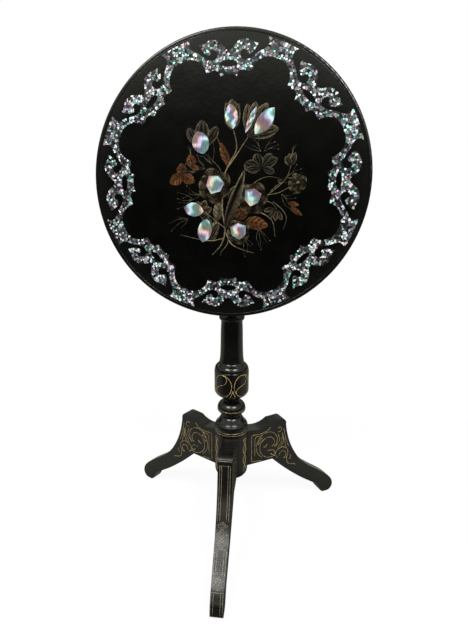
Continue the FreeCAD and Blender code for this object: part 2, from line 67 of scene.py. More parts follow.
# Places read from the frame
top_low, top_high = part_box("top_panel")
FACE_Y = top_low.y
TOP_RADIUS = (top_high.x - top_low.x) / 2
TOP_CENTRE_Z = (top_low.z + top_high.z) / 2
leg_low, leg_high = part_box("leg_front")
LEG_REACH = -leg_low.y
LEG_HEIGHT = leg_high.z

# Other places and limits
LEG_ANGLES = {"leg_front": -90, "leg_right": 30, "leg_left": 150}    # degrees
DRUM_SPIGOT = 0.024    # the drum's spigot, hidden in the knop section
FAR = 1.0    # start of a probing ray, outside the table
WELD = 0.000002    # points nearer than this are one
FACING = 0.9    # least cosine between a surface's normal and the way that it should face

# Wood
PROFILE_STEP = 0.0004    # between the probed radii of a turned section
PROFILE_BEND = 0.000004    # a radius that bends more than this keeps its row
PROFILE_GAP = 0.003    # the most between two rows
TURNED_SIDES = 160
SOFT_EDGE = 0.0011
FLAT_ANGLE = radians(0.6)
SHARP_ANGLE = radians(38)
SMOOTH_ANGLE = radians(34)

# Shell mosaic
BORDER_REPEATS = 8
FLAKE_SPACING = 0.0041
FLAKE_JITTER = 0.48    # of the spacing
FLAKE_GAP = 0.0006
FLAKE_TILT = 0.06
FLAKE_SINK = 0.00008    # middle of a chip's top below the face
FLAKE_PROUD = 0.00006    # the most that a corner stands above the face
FLAKE_DEPTH = 0.00045    # underside of a chip below the face
FLAKE_LEAST = 0.8e-6    # area of the smallest chip, in square metres
FLAKE_MISSING = 0.05    # share of the chips that have fallen out
NEAR = 0.00003    # points of a chip nearer than this are one
HALVINGS = 9    # of the way to a point that lies outside its inlay
STRAIGHT = 0.02    # sine of the least bend that keeps a point
GROUND_DEPTH = 0.00022    # filler between the chips, below the face
PETAL_RIM = 0.00026    # edge of a shell petal above the lacquer
PETAL_DOME = 0.0005    # rise of its middle above its edge
PETAL_RINGS = (1.0, 0.97, 0.86, 0.72, 0.58, 0.44, 0.3, 0.15)

# Painted spray
PAINT_LIFT = 0.00005    # first layer of paint above the lacquer
PAINT_STEP = 0.000012    # each later layer above the one before
PAINT_LAYERS = 14    # then the first height again
STROKE_SHARE = 0.78    # of the width given for a stroke
BLADE_ALONG = 20    # rows of a leaf or petal
BLADE_ACROSS = 8    # points on each side of its middle
LEAF_WIDEST = 0.45

# Gilt lines
GILT_WIDTH = 0.0011
GILT_HEIGHT = 0.00014
GILT_SINK = 0.0001
DOT_RADIUS = 0.0015
DOT_SIDES = 10


# Materials

def rgba(value):
    """A socket as it is; a colour or a grey value with its alpha."""
    if isinstance(value, bpy.types.NodeSocket):
        return value
    return (*value, 1) if isinstance(value, tuple) else (value, value, value, 1)


def times(light, tone):
    """A colour made lighter or darker."""
    return tuple(light * c for c in tone)


class Shading:
    """Short ways to add nodes to a tree; most give the socket that the node ends in."""

    def __init__(self, tree):
        self.tree = tree

    def feed(self, node, inputs):
        """Sets a node's inputs to values, or links them to sockets."""
        for key, value in inputs.items():
            if isinstance(value, bpy.types.NodeSocket):
                self.tree.links.new(value, node.inputs[key])
            else:
                node.inputs[key].default_value = value

    def add(self, kind, inputs, **settings):
        node = self.tree.nodes.new("ShaderNode" + kind)
        for key, value in settings.items():
            setattr(node, key, value)
        self.feed(node, inputs)
        return node

    def source(self, kind, output):
        return self.add(kind, {}).outputs[output]

    def axes(self, vector):
        """The X, Y and Z of a vector."""
        return self.add("SeparateXYZ", {"Vector": vector}).outputs

    def noise(self, scale, detail=3, stretch=(1, 1, 1)):
        """Noise in object coordinates, stretched."""
        place = {"Vector": self.source("TexCoord", "Object"), "Scale": stretch}
        vector = self.add("Mapping", place).outputs["Vector"]
        inputs = {"Vector": vector, "Scale": scale, "Detail": detail, "Roughness": 0.55}
        return self.add("TexNoise", inputs).outputs["Fac"]

    def ramp(self, source, *stops):
        """Stops are (position, grey value or colour)."""
        node = self.add("ValToRGB", {"Fac": source})
        elements = node.color_ramp.elements
        while len(elements) < len(stops):
            elements.new(0.5)
        for element, (position, value) in zip(elements, stops):
            element.position = position
            element.color = rgba(value)
        return node.outputs["Color"]

    def patches(self, scale, detail, low, high):
        """Noise that is black up to one level and white from another."""
        return self.ramp(self.noise(scale, detail), (low, 0.0), (high, 1.0))

    def mixed(self, factor, first, second, blend="MIX"):
        """A mix of two colours, each a socket, a colour or a grey value."""
        inputs = {0: factor, 6: rgba(first), 7: rgba(second)}
        return self.add("Mix", inputs, data_type="RGBA", blend_type=blend).outputs[2]

    def maths(self, operation, first, second=0.0):
        return self.add("Math", {0: first, 1: second}, operation=operation).outputs["Value"]

    def product(self, first, second):
        return self.maths("MULTIPLY", first, second)

    def bumped(self, height, strength, distance, normal=None):
        inputs = {"Height": height, "Strength": strength, "Distance": distance}
        if normal:
            inputs["Normal"] = normal
        return self.add("Bump", inputs).outputs["Normal"]

    def worn_edges(self, low, high):
        """White along convex edges, broken up by noise."""
        edge = self.ramp(self.source("NewGeometry", "Pointiness"), (low, 0.0), (high, 1.0))
        return self.product(edge, self.patches(90, 4, 0.42, 0.62))

    def rays(self):
        """Whether the camera sees a place, and whether polish mirrors it."""
        path = self.add("LightPath", {}).outputs
        mirror = self.maths("MAXIMUM", path["Is Glossy Ray"], path["Is Transmission Ray"])
        return path["Is Camera Ray"], mirror


class Finish(Shading):
    """A material with its shader."""

    def __init__(self, name):
        self.material = bpy.data.materials.new(name)
        self.material.use_nodes = True
        super().__init__(self.material.node_tree)
        self.shader = self.tree.nodes["Principled BSDF"]

    def shaded(self, **inputs):
        """The material, with the shader's inputs fed; an underscore in a name stands for a space."""
        self.feed(self.shader, {key.replace("_", " "): value for key, value in inputs.items()})
        return self.material


def lacquered_face(look, share):
    """Colour and roughness of the polished face, by the share of the top's radius."""
    rim = look.ramp(share, (0.8, 0.0), (0.97, 1.0))
    dust = look.patches(26, 6, 0.35, 0.75)
    field = look.mixed(dust, (0.0006, 0.0007, 0.0006), (0.0015, 0.0017, 0.0014))
    border = look.mixed(dust, (0.0022, 0.0022, 0.0018), (0.005, 0.0049, 0.004))
    colour = look.mixed(rim, field, border)
    edge = look.ramp(share, (0.982, 0.0), (0.996, 1.0))
    chips = look.product(edge, look.patches(70, 5, 0.62, 0.69))
    colour = look.mixed(chips, colour, (0.055, 0.042, 0.029))
    specks = look.patches(620, 2, 0.73, 0.78)
    colour = look.mixed(specks, colour, (0.03, 0.03, 0.026))
    return colour, look.mixed(rim, look.mixed(dust, 0.1, 0.15), 0.22)


def lacquer():
    """Black lacquer: glossy inside the border, duller near the rim, with dull brushed paint underneath."""
    look = Finish("black_lacquer")
    x, y, z = look.axes(look.source("TexCoord", "Object"))
    up = look.maths("SUBTRACT", z, TOP_CENTRE_Z)
    squares = look.maths("ADD", look.product(x, x), look.product(up, up))
    share = look.maths("DIVIDE", look.maths("SQRT", squares), TOP_RADIUS)
    colour, rough = lacquered_face(look, share)
    depth = look.maths("DIVIDE", look.maths("SUBTRACT", y, FACE_Y), top_high.y - FACE_Y)
    under = look.ramp(depth, (0.85, 0.0), (0.97, 1.0))
    brushing = look.noise(40, 5, (0.8, 1, 9))
    paint = look.ramp(brushing, (0.32, (0.0075, 0.0068, 0.0058)), (0.7, (0.021, 0.0185, 0.015)))
    colour = look.mixed(under, colour, paint)
    rough = look.mixed(under, rough, look.ramp(brushing, (0.3, 0.42), (0.7, 0.6)))
    ripple = look.bumped(look.noise(16, 1), 0.2, 0.002)
    peel = look.bumped(look.noise(130, 4), 0.1, 0.001, ripple)
    grain = look.bumped(look.noise(900, 3), 0.08, 0.0004, peel)
    return look.shaded(Base_Color=colour, Roughness=rough, Normal=grain, IOR=1.5)


def ebonised(name, roughness, tone):
    """Black japanned wood: fine grain and cloudy polish."""
    look = Finish(name)
    along = look.noise(60, 5, (6, 6, 0.5))
    cloud = look.patches(22, 4, 0.3, 0.75)
    colour = look.mixed(cloud, times(0.55, tone), times(1.35, tone))
    streaks = look.ramp(along, (0.58, 0.0), (0.85, 0.3))
    colour = look.mixed(streaks, colour, times(3.0, tone))
    rough = look.mixed(cloud, roughness, roughness + 0.12)
    grain = look.bumped(along, 0.14, 0.0008)
    speck = look.bumped(look.noise(700, 2), 0.06, 0.0004, grain)
    return look.shaded(Base_Color=colour, Roughness=rough, Normal=speck, IOR=1.5)


def worn_edge(name, ground, bare):
    """An edge where the finish is rubbed through in patches."""
    look = Finish(name)
    rubbed = look.patches(75, 5, 0.48, 0.62)
    colour = look.mixed(rubbed, ground, bare)
    rough = look.mixed(rubbed, 0.3, 0.55)
    dents = look.bumped(look.noise(320, 3), 0.3, 0.0005)
    return look.shaded(Base_Color=colour, Roughness=rough, Normal=dents)


def gilt(name, rubbed, bright):
    """Dull gold paint, rubbed through in places."""
    look = Finish(name)
    wear = look.patches(140, 4, 0.34, 0.56)
    colour = look.mixed(wear, rubbed, bright)
    rough = look.mixed(wear, 0.6, 0.4)
    metallic = look.ramp(wear, (0.0, 0.05), (1.0, 0.35))
    flecks = look.bumped(look.noise(1200, 2), 0.3, 0.0002)
    return look.shaded(Base_Color=colour, Roughness=rough, Metallic=metallic, Normal=flecks)


def tinted(name, roughness, low, high, flecks, film=0.0, stretch=(1, 1, 1)):
    """Colour from the mesh's tint, varied by noise; film adds the play of colour that shell has."""
    look = Finish(name)
    tint = look.add("VertexColor", {}, layer_name="tint").outputs["Color"]
    shade = look.ramp(look.noise(flecks, 4, stretch), (0.3, low), (0.7, high))
    colour = look.mixed(1.0, tint, shade, "MULTIPLY")
    if film:
        bands = look.noise(flecks / 2, 2, (1.6, 1, 0.7))
        play = look.ramp(bands, (0.32, (1.0, 0.72, 0.9)), (0.46, 1.0), (0.56, (0.66, 1.0, 0.95)),
                         (0.68, (0.8, 0.84, 1.0)))
        colour = look.mixed(film, colour, play, "MULTIPLY")
        look.shaded(Coat_Weight=0.35, Coat_Roughness=0.08)
    height = look.bumped(look.noise(flecks * 3, 2), 0.15, 0.0003)
    return look.shaded(Base_Color=colour, Roughness=roughness, Normal=height)


def stained_wood(name, axis):
    """Dark stained hardwood with rubbed edges, its grain straight along one axis (0 is X, 2 is Z)."""
    look = Finish(name)
    figure = look.noise(30, 6, tuple(1.0 if n == axis else 9.0 for n in range(3)))
    colour = look.ramp(figure, (0.3, (0.02, 0.011, 0.007)), (0.52, (0.05, 0.027, 0.015)),
                       (0.72, (0.095, 0.052, 0.027)))
    colour = look.mixed(look.worn_edges(0.52, 0.6), colour, (0.2, 0.125, 0.07))
    rough = look.ramp(figure, (0.3, 0.62), (0.7, 0.46))
    pores = look.noise(260, 3, tuple(0.4 if n == axis else 5.0 for n in range(3)))
    return look.shaded(Base_Color=colour, Roughness=rough, Normal=look.bumped(pores, 0.35, 0.0008))


def metal(name, bright, dull, roughness):
    """Aged metal: bright where it is rubbed, dull in the hollows."""
    look = Finish(name)
    tarnish = look.patches(120, 5, 0.35, 0.66)
    colour = look.mixed(tarnish, bright, dull)
    rubbed = tuple(min(1, c) for c in times(1.3, bright))
    colour = look.mixed(look.worn_edges(0.51, 0.57), colour, rubbed)
    rough = look.mixed(tarnish, roughness, roughness + 0.2)
    brushed = look.bumped(look.noise(500, 2, (1, 1, 8)), 0.12, 0.0003)
    return look.shaded(Base_Color=colour, Roughness=rough, Metallic=1.0, Normal=brushed)


LACQUER = lacquer()
TURNED = ebonised("ebonised_turned", 0.14, (0.0046, 0.0045, 0.0038))
SAWN = ebonised("ebonised_legs", 0.17, (0.0062, 0.0061, 0.0051))
GILT = gilt("rubbed_gilt", (0.26, 0.165, 0.07), (0.85, 0.6, 0.25))
# a darker copy of the gilt for the sides of the front leg: painted shade
GILT_SHADED = gilt("rubbed_gilt_shaded", (0.02, 0.014, 0.008), (0.105, 0.07, 0.03))
GILT_PALE = gilt("rubbed_gilt_pale", (0.24, 0.2, 0.12), (0.62, 0.54, 0.37))
EBONY_EDGE = worn_edge("ebonised_edge", (0.012, 0.011, 0.009), (0.13, 0.095, 0.058))
SHELL = tinted("mother_of_pearl", 0.16, 0.8, 1.0, 240, film=0.6)
SHELL_CUT = tinted("mother_of_pearl_cut", 0.16, 0.5, 1.05, 420, film=0.6, stretch=(1.0, 1.0, 0.25))
PAINT = tinted("spray_paint", 0.15, 0.22, 1.15, 260)
BLOCK_WOOD = stained_wood("stained_block", 0)
BEARER_WOOD = stained_wood("stained_bearers", 2)
UNDERFRAME_EDGE = worn_edge("stained_edge", (0.03, 0.017, 0.01), (0.15, 0.09, 0.05))
BRASS = metal("aged_brass", (0.62, 0.44, 0.17), (0.3, 0.2, 0.085), 0.26)
STEEL = metal("aged_steel", (0.42, 0.4, 0.38), (0.16, 0.14, 0.125), 0.34)


# Mesh helpers

def in_scene(name, data):
    """A new object in the scene."""
    item = bpy.data.objects.new(name, data)
    scene.collection.objects.link(item)
    return item


def finished(name, mesh, material, body, slot, *replaced):
    """A new piece on its body, standing for the nodes named, which are hidden; the slot is not used."""
    piece = in_scene(name, mesh)
    mesh.materials.clear()
    mesh.materials.append(material)
    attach(piece, body)
    if replaced:
        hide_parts(*replaced)
    return piece


def sides(ring):
    """Each item of a closed row with the next."""
    return zip(ring, ring[1:] + ring[:1])


def turns(count):
    """Angles that part a full turn evenly."""
    return [tau * n / count for n in range(count)]


def headed(degrees):
    """The way of a heading on a plane, and the way to its left."""
    turn = radians(degrees)
    ahead = Vector((cos(turn), sin(turn)))
    return ahead, Vector((-ahead.y, ahead.x))


class Patchwork:
    """Points, faces and a tint for each point, gathered into one mesh."""

    def __init__(self):
        self.points = []
        self.tints = []
        self.faces = []

    def point(self, place, tint=(1, 1, 1)):
        self.points.append(place)
        self.tints.append((*tint, 1))
        return len(self.points) - 1

    def band(self, first, second):
        """Faces between two closed rows."""
        for (a, b), (c, d) in zip(sides(first), sides(second)):
            self.faces.append((a, b, d, c))

    def wall(self, rim, base):
        """The sides and the underside of an inlay."""
        for (a, b), (c, d) in zip(sides(rim), sides(base)):
            self.faces.append((a, c, d, b))
        self.faces.append(tuple(reversed(base)))

    def fan(self, middle, ring):
        """Faces from a middle point to a closed row."""
        for a, b in sides(ring):
            self.faces.append((middle, a, b))

    def mesh(self, name, smooth=True):
        mesh = bpy.data.meshes.new(name)
        mesh.from_pydata([tuple(p) for p in self.points], [], self.faces)
        layer = mesh.color_attributes.new("tint", "FLOAT_COLOR", "POINT")
        layer.data.foreach_set("color", [c for tint in self.tints for c in tint])
        mesh.polygons.foreach_set("use_smooth", [smooth] * len(mesh.polygons))
        mesh.update()
        return mesh


def welded(node):
    work = bmesh.new()
    work.from_mesh(nodes[node].data)
    bmesh.ops.remove_doubles(work, verts=work.verts, dist=WELD)
    return work


def tree_of(node):
    work = welded(node)
    found = BVHTree.FromBMesh(work)
    work.free()
    return found


def tree_of_piece(piece):
    mesh = piece.data
    return BVHTree.FromPolygons([v.co for v in mesh.vertices], [tuple(f.vertices) for f in mesh.polygons])


def curve(points, steps):
    """A smooth line through points of any dimension, as a Catmull-Rom spline."""
    knots = [Vector(p) for p in points]
    if len(knots) < 3:
        return knots
    if (knots[0] - knots[-1]).length < WELD:
        knots = [knots[-2]] + knots + [knots[1]]
    else:
        knots = [2 * knots[0] - knots[1]] + knots + [2 * knots[-1] - knots[-2]]
    line = []
    for a, b, c, d in zip(knots, knots[1:], knots[2:], knots[3:]):
        for n in range(steps):
            t = n / steps
            line.append(0.5 * (2 * b + (c - a) * t + (2 * a - 5 * b + 4 * c - d) * t ** 2
                               + (3 * b - a - 3 * c + d) * t ** 3))
    line.append(knots[-2])
    return line


# Wooden pieces: the turned sections get eased arrises, the flat ones eased edges

def turned_profile(node, low, high):
    """Radius at each height, probed from outside along +X, then eased a little."""
    solid = tree_of(node)
    count = round((high - low) / PROFILE_STEP)
    heights = [low + (high - low) * (n + 0.5) / count for n in range(count)]
    radii = [solid.ray_cast(Vector((FAR, 0, z)), Vector((-1, 0, 0)))[0].x for z in heights]
    eased_radii = [(a + 2 * b + c) / 4 for a, b, c in zip(radii, radii[1:], radii[2:])]
    radii = radii[:1] + eased_radii + radii[-1:]
    rows = [(radii[0], low)]
    for n in range(1, count - 1):
        bend = abs(radii[n - 1] - 2 * radii[n] + radii[n + 1])
        if bend > PROFILE_BEND or heights[n] - rows[-1][1] > PROFILE_GAP:
            rows.append((radii[n], heights[n]))
    return rows + [(radii[-1], high)]


def turned_section(node, low, high):
    work = Patchwork()
    rows = []
    for radius, height in turned_profile(node, low, high):
        rows.append([work.point((radius * cos(angle), radius * sin(angle), height))
                     for angle in turns(TURNED_SIDES)])
    for lower, upper in zip(rows, rows[1:]):
        work.band(lower, upper)
    work.faces.append(tuple(reversed(rows[0])))
    work.faces.append(tuple(rows[-1]))
    mesh = work.mesh(node + "_turned")
    for face in mesh.polygons[-2:]:
        face.use_smooth = False
    return finished(node + "_turned", mesh, TURNED, "base", "ebonised_wood", node)


def eased(node, material, edge_material, body, slot):
    """A copy of a flat-sided node with its sharp outer edges eased and worn."""
    work = welded(node)
    bmesh.ops.dissolve_limit(work, angle_limit=FLAT_ANGLE, verts=work.verts, edges=work.edges)
    sharp = [e for e in work.edges
             if len(e.link_faces) == 2 and e.is_convex and e.calc_face_angle() > SHARP_ANGLE]
    bmesh.ops.bevel(work, geom=sharp, offset=SOFT_EDGE, segments=2, profile=0.6, affect="EDGES",
                    clamp_overlap=True, material=1)
    bmesh.ops.remove_doubles(work, verts=work.verts, dist=WELD)
    bmesh.ops.dissolve_degenerate(work, dist=WELD, edges=work.edges)
    for edge in work.edges:
        strips = {face.material_index for face in edge.link_faces}
        edge.smooth = len(strips) == 1 and edge.calc_face_angle(0) < SMOOTH_ANGLE
    mesh = bpy.data.meshes.new(node + "_eased")
    work.to_mesh(mesh)
    work.free()
    mesh.polygons.foreach_set("use_smooth", [True] * len(mesh.polygons))
    piece = finished(node + "_eased", mesh, material, body, slot, node)
    mesh.materials.append(edge_material)
    return piece


def wooden_pieces():
    """The turned and flat wooden pieces that are softened, by the name of the node that each stands for."""
    knop_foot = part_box("hub")[1].z
    drum_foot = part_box("drum_section")[0].z + DRUM_SPIGOT
    drum_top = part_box("drum_section")[1].z
    pieces = {
        "knop_section": turned_section("knop_section", knop_foot, drum_foot),
        "drum_section": turned_section("drum_section", drum_foot, drum_top),
    }
    for leg in LEG_ANGLES:
        pieces[leg] = eased(leg, SAWN, EBONY_EDGE, "base", "ebonised_wood")
    boards = (("bearer_right", "top", BEARER_WOOD), ("bearer_left", "top", BEARER_WOOD),
              ("pivot_block", "base", BLOCK_WOOD))
    for board, body, wood in boards:
        pieces[board] = eased(board, wood, UNDERFRAME_EDGE, body, "underframe_wood")
    return pieces


# CAD nodes whose shape is right, and the finer finish of each
DRESSED = (
    (LACQUER, ("top_panel",)),
    (TURNED, ("column_shaft", "hub")),
    (BLOCK_WOOD, ("tenon_wedge",)),
    (BRASS, ("catch_case", "catch_bolt", "catch_knob", "catch_screws", "keeper_plate", "keeper_screws")),
    (STEEL, ("bearer_screws", "pivot_pin_left", "pivot_pin_right")),
)


def carried_over():
    for material, names in DRESSED:
        for name in names:
            finishes = nodes[name].data.materials
            finishes.clear()
            finishes.append(material)


def wound_spring():
    """A copy of the catch's spring with a mesh of its own; the real spring shortens towards the rear wall of
    its case as the bolt is drawn back, but this copy keeps its shape.
    """
    mesh = nodes["catch_spring"].data.copy()
    spring = finished("catch_spring_wound", mesh, STEEL, "top", "steel", "catch_spring")
    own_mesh(spring)


# Shell mosaic

# Shell chips: hue with its weight, then brightness with its weight; the brightest are painted glints, the
# rest the shell's tone
SHELL_HUES = (
    ((0.94, 1.0, 0.93), 28), ((0.5, 1.0, 0.88), 21), ((1.0, 0.66, 0.84), 19), ((0.78, 0.76, 0.96), 13),
    ((1.0, 0.99, 0.96), 12), ((1.0, 0.84, 0.66), 6),
)
SHELL_TONES_AND_GLINTS = ((0.018, 14), (0.065, 23), (0.17, 24), (0.4, 17), (0.85, 11), (1.35, 11))
SHELL_BRIGHTEST = 0.95
SHELL_GROUND = (0.012, 0.013, 0.011)


def islands(work):
    """Groups of faces of the front side that hang together."""
    left = {f for f in work.faces if f.normal.y < -FACING}
    groups = []
    while left:
        stack = [left.pop()]
        group = []
        while stack:
            face = stack.pop()
            group.append(face)
            for edge in face.edges:
                for other in edge.link_faces:
                    if other in left:
                        left.remove(other)
                        stack.append(other)
        groups.append(group)
    return sorted(groups, key=lambda group: tuple(round(c, 5) for c in middle_of(group)))


def middle_of(group):
    area = sum(f.calc_area() for f in group)
    return sum((f.calc_center_median() * f.calc_area() for f in group), Vector()) / area


class Region:
    """The outline of one inlay on the face, asked whether a place (x, z) lies in it."""

    def __init__(self, group):
        points = []
        faces = []
        for face in group:
            faces.append(tuple(range(len(points), len(points) + len(face.verts))))
            points.extend(v.co for v in face.verts)
        self.tree = BVHTree.FromPolygons(points, faces)
        self.low = Vector((min(p.x for p in points), min(p.z for p in points)))
        self.high = Vector((max(p.x for p in points), max(p.z for p in points)))

    def holds(self, place):
        return self.tree.ray_cast(Vector((place.x, -FAR, place.y)), Vector((0, 1, 0)))[0] is not None

    def pulled(self, seed, place):
        """The place itself, or the last one inside on the way out from the seed."""
        if self.holds(place):
            return place
        inside, outside = 0.0, 1.0
        for _ in range(HALVINGS):
            middle = (inside + outside) / 2
            if self.holds(seed.lerp(place, middle)):
                inside = middle
            else:
                outside = middle
        return seed.lerp(place, inside)


def seeds_in(region, dice):
    """Uneven places, each inside the region."""
    across = int((region.high.x - region.low.x) / FLAKE_SPACING) + 2
    upward = int((region.high.y - region.low.y) / FLAKE_SPACING) + 2
    found = []
    for i in range(across):
        for j in range(upward):
            jitter = Vector([dice.uniform(-FLAKE_JITTER, FLAKE_JITTER) for _ in range(2)])
            place = region.low + (Vector((i + 0.5 * (j % 2), j)) + jitter) * FLAKE_SPACING
            if region.holds(place):
                found.append(place)
    return found


def cut_back(polygon, point, normal):
    """The part of a convex polygon behind a line."""
    kept = []
    for a, b in sides(polygon):
        depth_a = (a - point).dot(normal)
        depth_b = (b - point).dot(normal)
        if depth_a <= 0:
            kept.append(a)
        if depth_a * depth_b < 0:
            kept.append(a.lerp(b, depth_a / (depth_a - depth_b)))
    return kept


def flake_outline(seed, others, region, gap):
    """The places nearer to a seed than to the others, less half a gap, kept inside the region."""
    reach = 1.1 * FLAKE_SPACING
    polygon = [seed + Vector(c) * reach for c in ((-1, -1), (1, -1), (1, 1), (-1, 1))]
    for other in others:
        away = other - seed
        if 0 < away.length < 3 * FLAKE_SPACING:
            polygon = cut_back(polygon, seed + away / 2 - away.normalized() * gap / 2, away)
    line = []
    for a, b in sides(polygon):
        parts = max(1, round((b - a).length / (FLAKE_SPACING / 3)))
        line.extend(region.pulled(seed, a.lerp(b, n / parts)) for n in range(parts))
    return without_needless(line)


def without_needless(line):
    """A closed line without doubled points and points on a straight run."""
    apart = [b for a, b in zip(line[-1:] + line[:-1], line) if (b - a).length > NEAR]
    kept = []
    for a, (b, c) in zip(apart[-1:] + apart[:-1], sides(apart)):
        if abs((b - a).normalized().cross((c - b).normalized())) > STRAIGHT:
            kept.append(b)
    return kept


def add_flake(work, line, tint, dice):
    """A thin tilted chip: its top near the face of the panel, its underside on the floor of the inlay."""
    centre = sum(line, Vector((0, 0))) / len(line)
    lean = Vector((dice.uniform(-1, 1), dice.uniform(-1, 1))) * FLAKE_TILT
    top = []
    base = []
    for p in line:
        sink = max(-FLAKE_PROUD, FLAKE_SINK + (p - centre).dot(lean))
        top.append(work.point((p.x, FACE_Y + sink, p.y), tint))
        base.append(work.point((p.x, FACE_Y + FLAKE_DEPTH, p.y), tint))
    work.faces.append(tuple(top))
    work.wall(top, base)


def area_of(line):
    return 0.5 * sum(a.x * b.y - b.x * a.y for a, b in sides(line))


def add_ground(work, group):
    """The grey filler that shows between the chips: a sheet over the whole inlay."""
    spots = {}
    for face in group:
        for vert in face.verts:
            if vert not in spots:
                spots[vert] = work.point((vert.co.x, FACE_Y + GROUND_DEPTH, vert.co.z), SHELL_GROUND)
        work.faces.append(tuple(spots[vert] for vert in face.verts))


def shell_mosaic(node, dice):
    work = Patchwork()
    source = welded(node)
    for group in islands(source):
        add_ground(work, group)
        region = Region(group)
        seeds = seeds_in(region, dice)
        for seed in seeds:
            hue = dice.choices(*zip(*SHELL_HUES))[0]
            # brightness of the chip: the shell's own tone, with painted glints on the brightest chips
            depth = dice.choices(*zip(*SHELL_TONES_AND_GLINTS))[0] * dice.uniform(0.75, 1.25)
            missing = dice.random() < FLAKE_MISSING
            gap = FLAKE_GAP * dice.uniform(0.4, 2.2)
            line = flake_outline(seed, seeds, region, gap)
            if not missing and len(line) > 2 and area_of(line) > FLAKE_LEAST:
                add_flake(work, line, tuple(min(SHELL_BRIGHTEST, c) for c in times(depth, hue)), dice)
    source.free()
    name = node.replace("shell_border", "shell_mosaic")
    finished(name, work.mesh(name, smooth=False), SHELL, "top", "shell_inlay", node)


def outline_of(group):
    """The boundary of a group of faces, in order."""
    inside = set(group)
    following = {}
    for face in group:
        for loop in face.loops:
            if not any(f in inside for f in loop.edge.link_faces if f is not face):
                following[loop.vert] = loop.link_loop_next.vert
    first = min(following, key=lambda v: (v.co.x, v.co.z))
    line = [first]
    while following[line[-1]] is not first:
        line.append(following[line[-1]])
    return [v.co.copy() for v in line]


def pearl(centre, way, width, phase):
    """The play of colour across a piece of shell: bands of pink, green and blue, light and dark."""

    def tint_at(place):
        t = 0.5 + 0.5 * (place - centre).dot(way) / width
        across = (place - centre).cross(way).y / width
        turn = 5.5 * t + 1.9 * phase + 1.6 * across
        wave = 0.5 + 0.5 * cos(9.0 * t + 1.3 * phase - 1.2 * across + 0.9 * sin(5 * across))
        band = 0.26 + 0.94 * wave ** 3
        hue = [0.66 + 0.3 * cos(turn - shift) for shift in (0.0, 2.5, 3.6)]
        return tuple(min(SHELL_BRIGHTEST, band * (0.3 + 0.7 * h)) for h in hue)

    return tint_at


def add_petal(work, line, centre, tint_at):
    """A low dome over an outline, with sides down to the floor of the inlay."""

    def row(share, rise):
        spots = [centre.lerp(p, share) for p in line]
        return [work.point((q.x, FACE_Y - rise, q.z), tint_at(q)) for q in spots]

    rows = [row(share, PETAL_RIM + PETAL_DOME * (1 - share ** 2)) for share in PETAL_RINGS]
    base = row(1.0, -FLAKE_DEPTH)
    peak = work.point((centre.x, FACE_Y - PETAL_RIM - PETAL_DOME, centre.z), tint_at(centre))
    work.wall(rows[0], base)
    for outer, inner in zip(rows, rows[1:]):
        work.band(outer, inner)
    work.fan(peak, rows[-1])


def shell_petals(dice):
    """Each petal is a low dome whose colour turns from one pearl tint to another."""
    work = Patchwork()
    source = welded("shell_petals")
    for index, group in enumerate(islands(source)):
        line = outline_of(group)
        centre = middle_of(group)
        heading = dice.uniform(0, tau)
        way = Vector((cos(heading), 0, sin(heading)))
        width = max(abs((p - centre).dot(way)) for p in line)
        add_petal(work, line, centre, pearl(centre, way, width, index))
    source.free()
    name = "shell_petals_cut"
    finished(name, work.mesh(name), SHELL_CUT, "top", "shell_inlay", "shell_petals")


# Painted spray: places are shares of the top's radius, across and up from its middle

BRONZE = (0.215, 0.088, 0.031)
UMBER = (0.15, 0.066, 0.027)
STONE = (0.24, 0.2, 0.118)
SMOKE = (0.15, 0.13, 0.084)
STRAW = (0.29, 0.23, 0.122)
ROSE = (0.215, 0.158, 0.09)


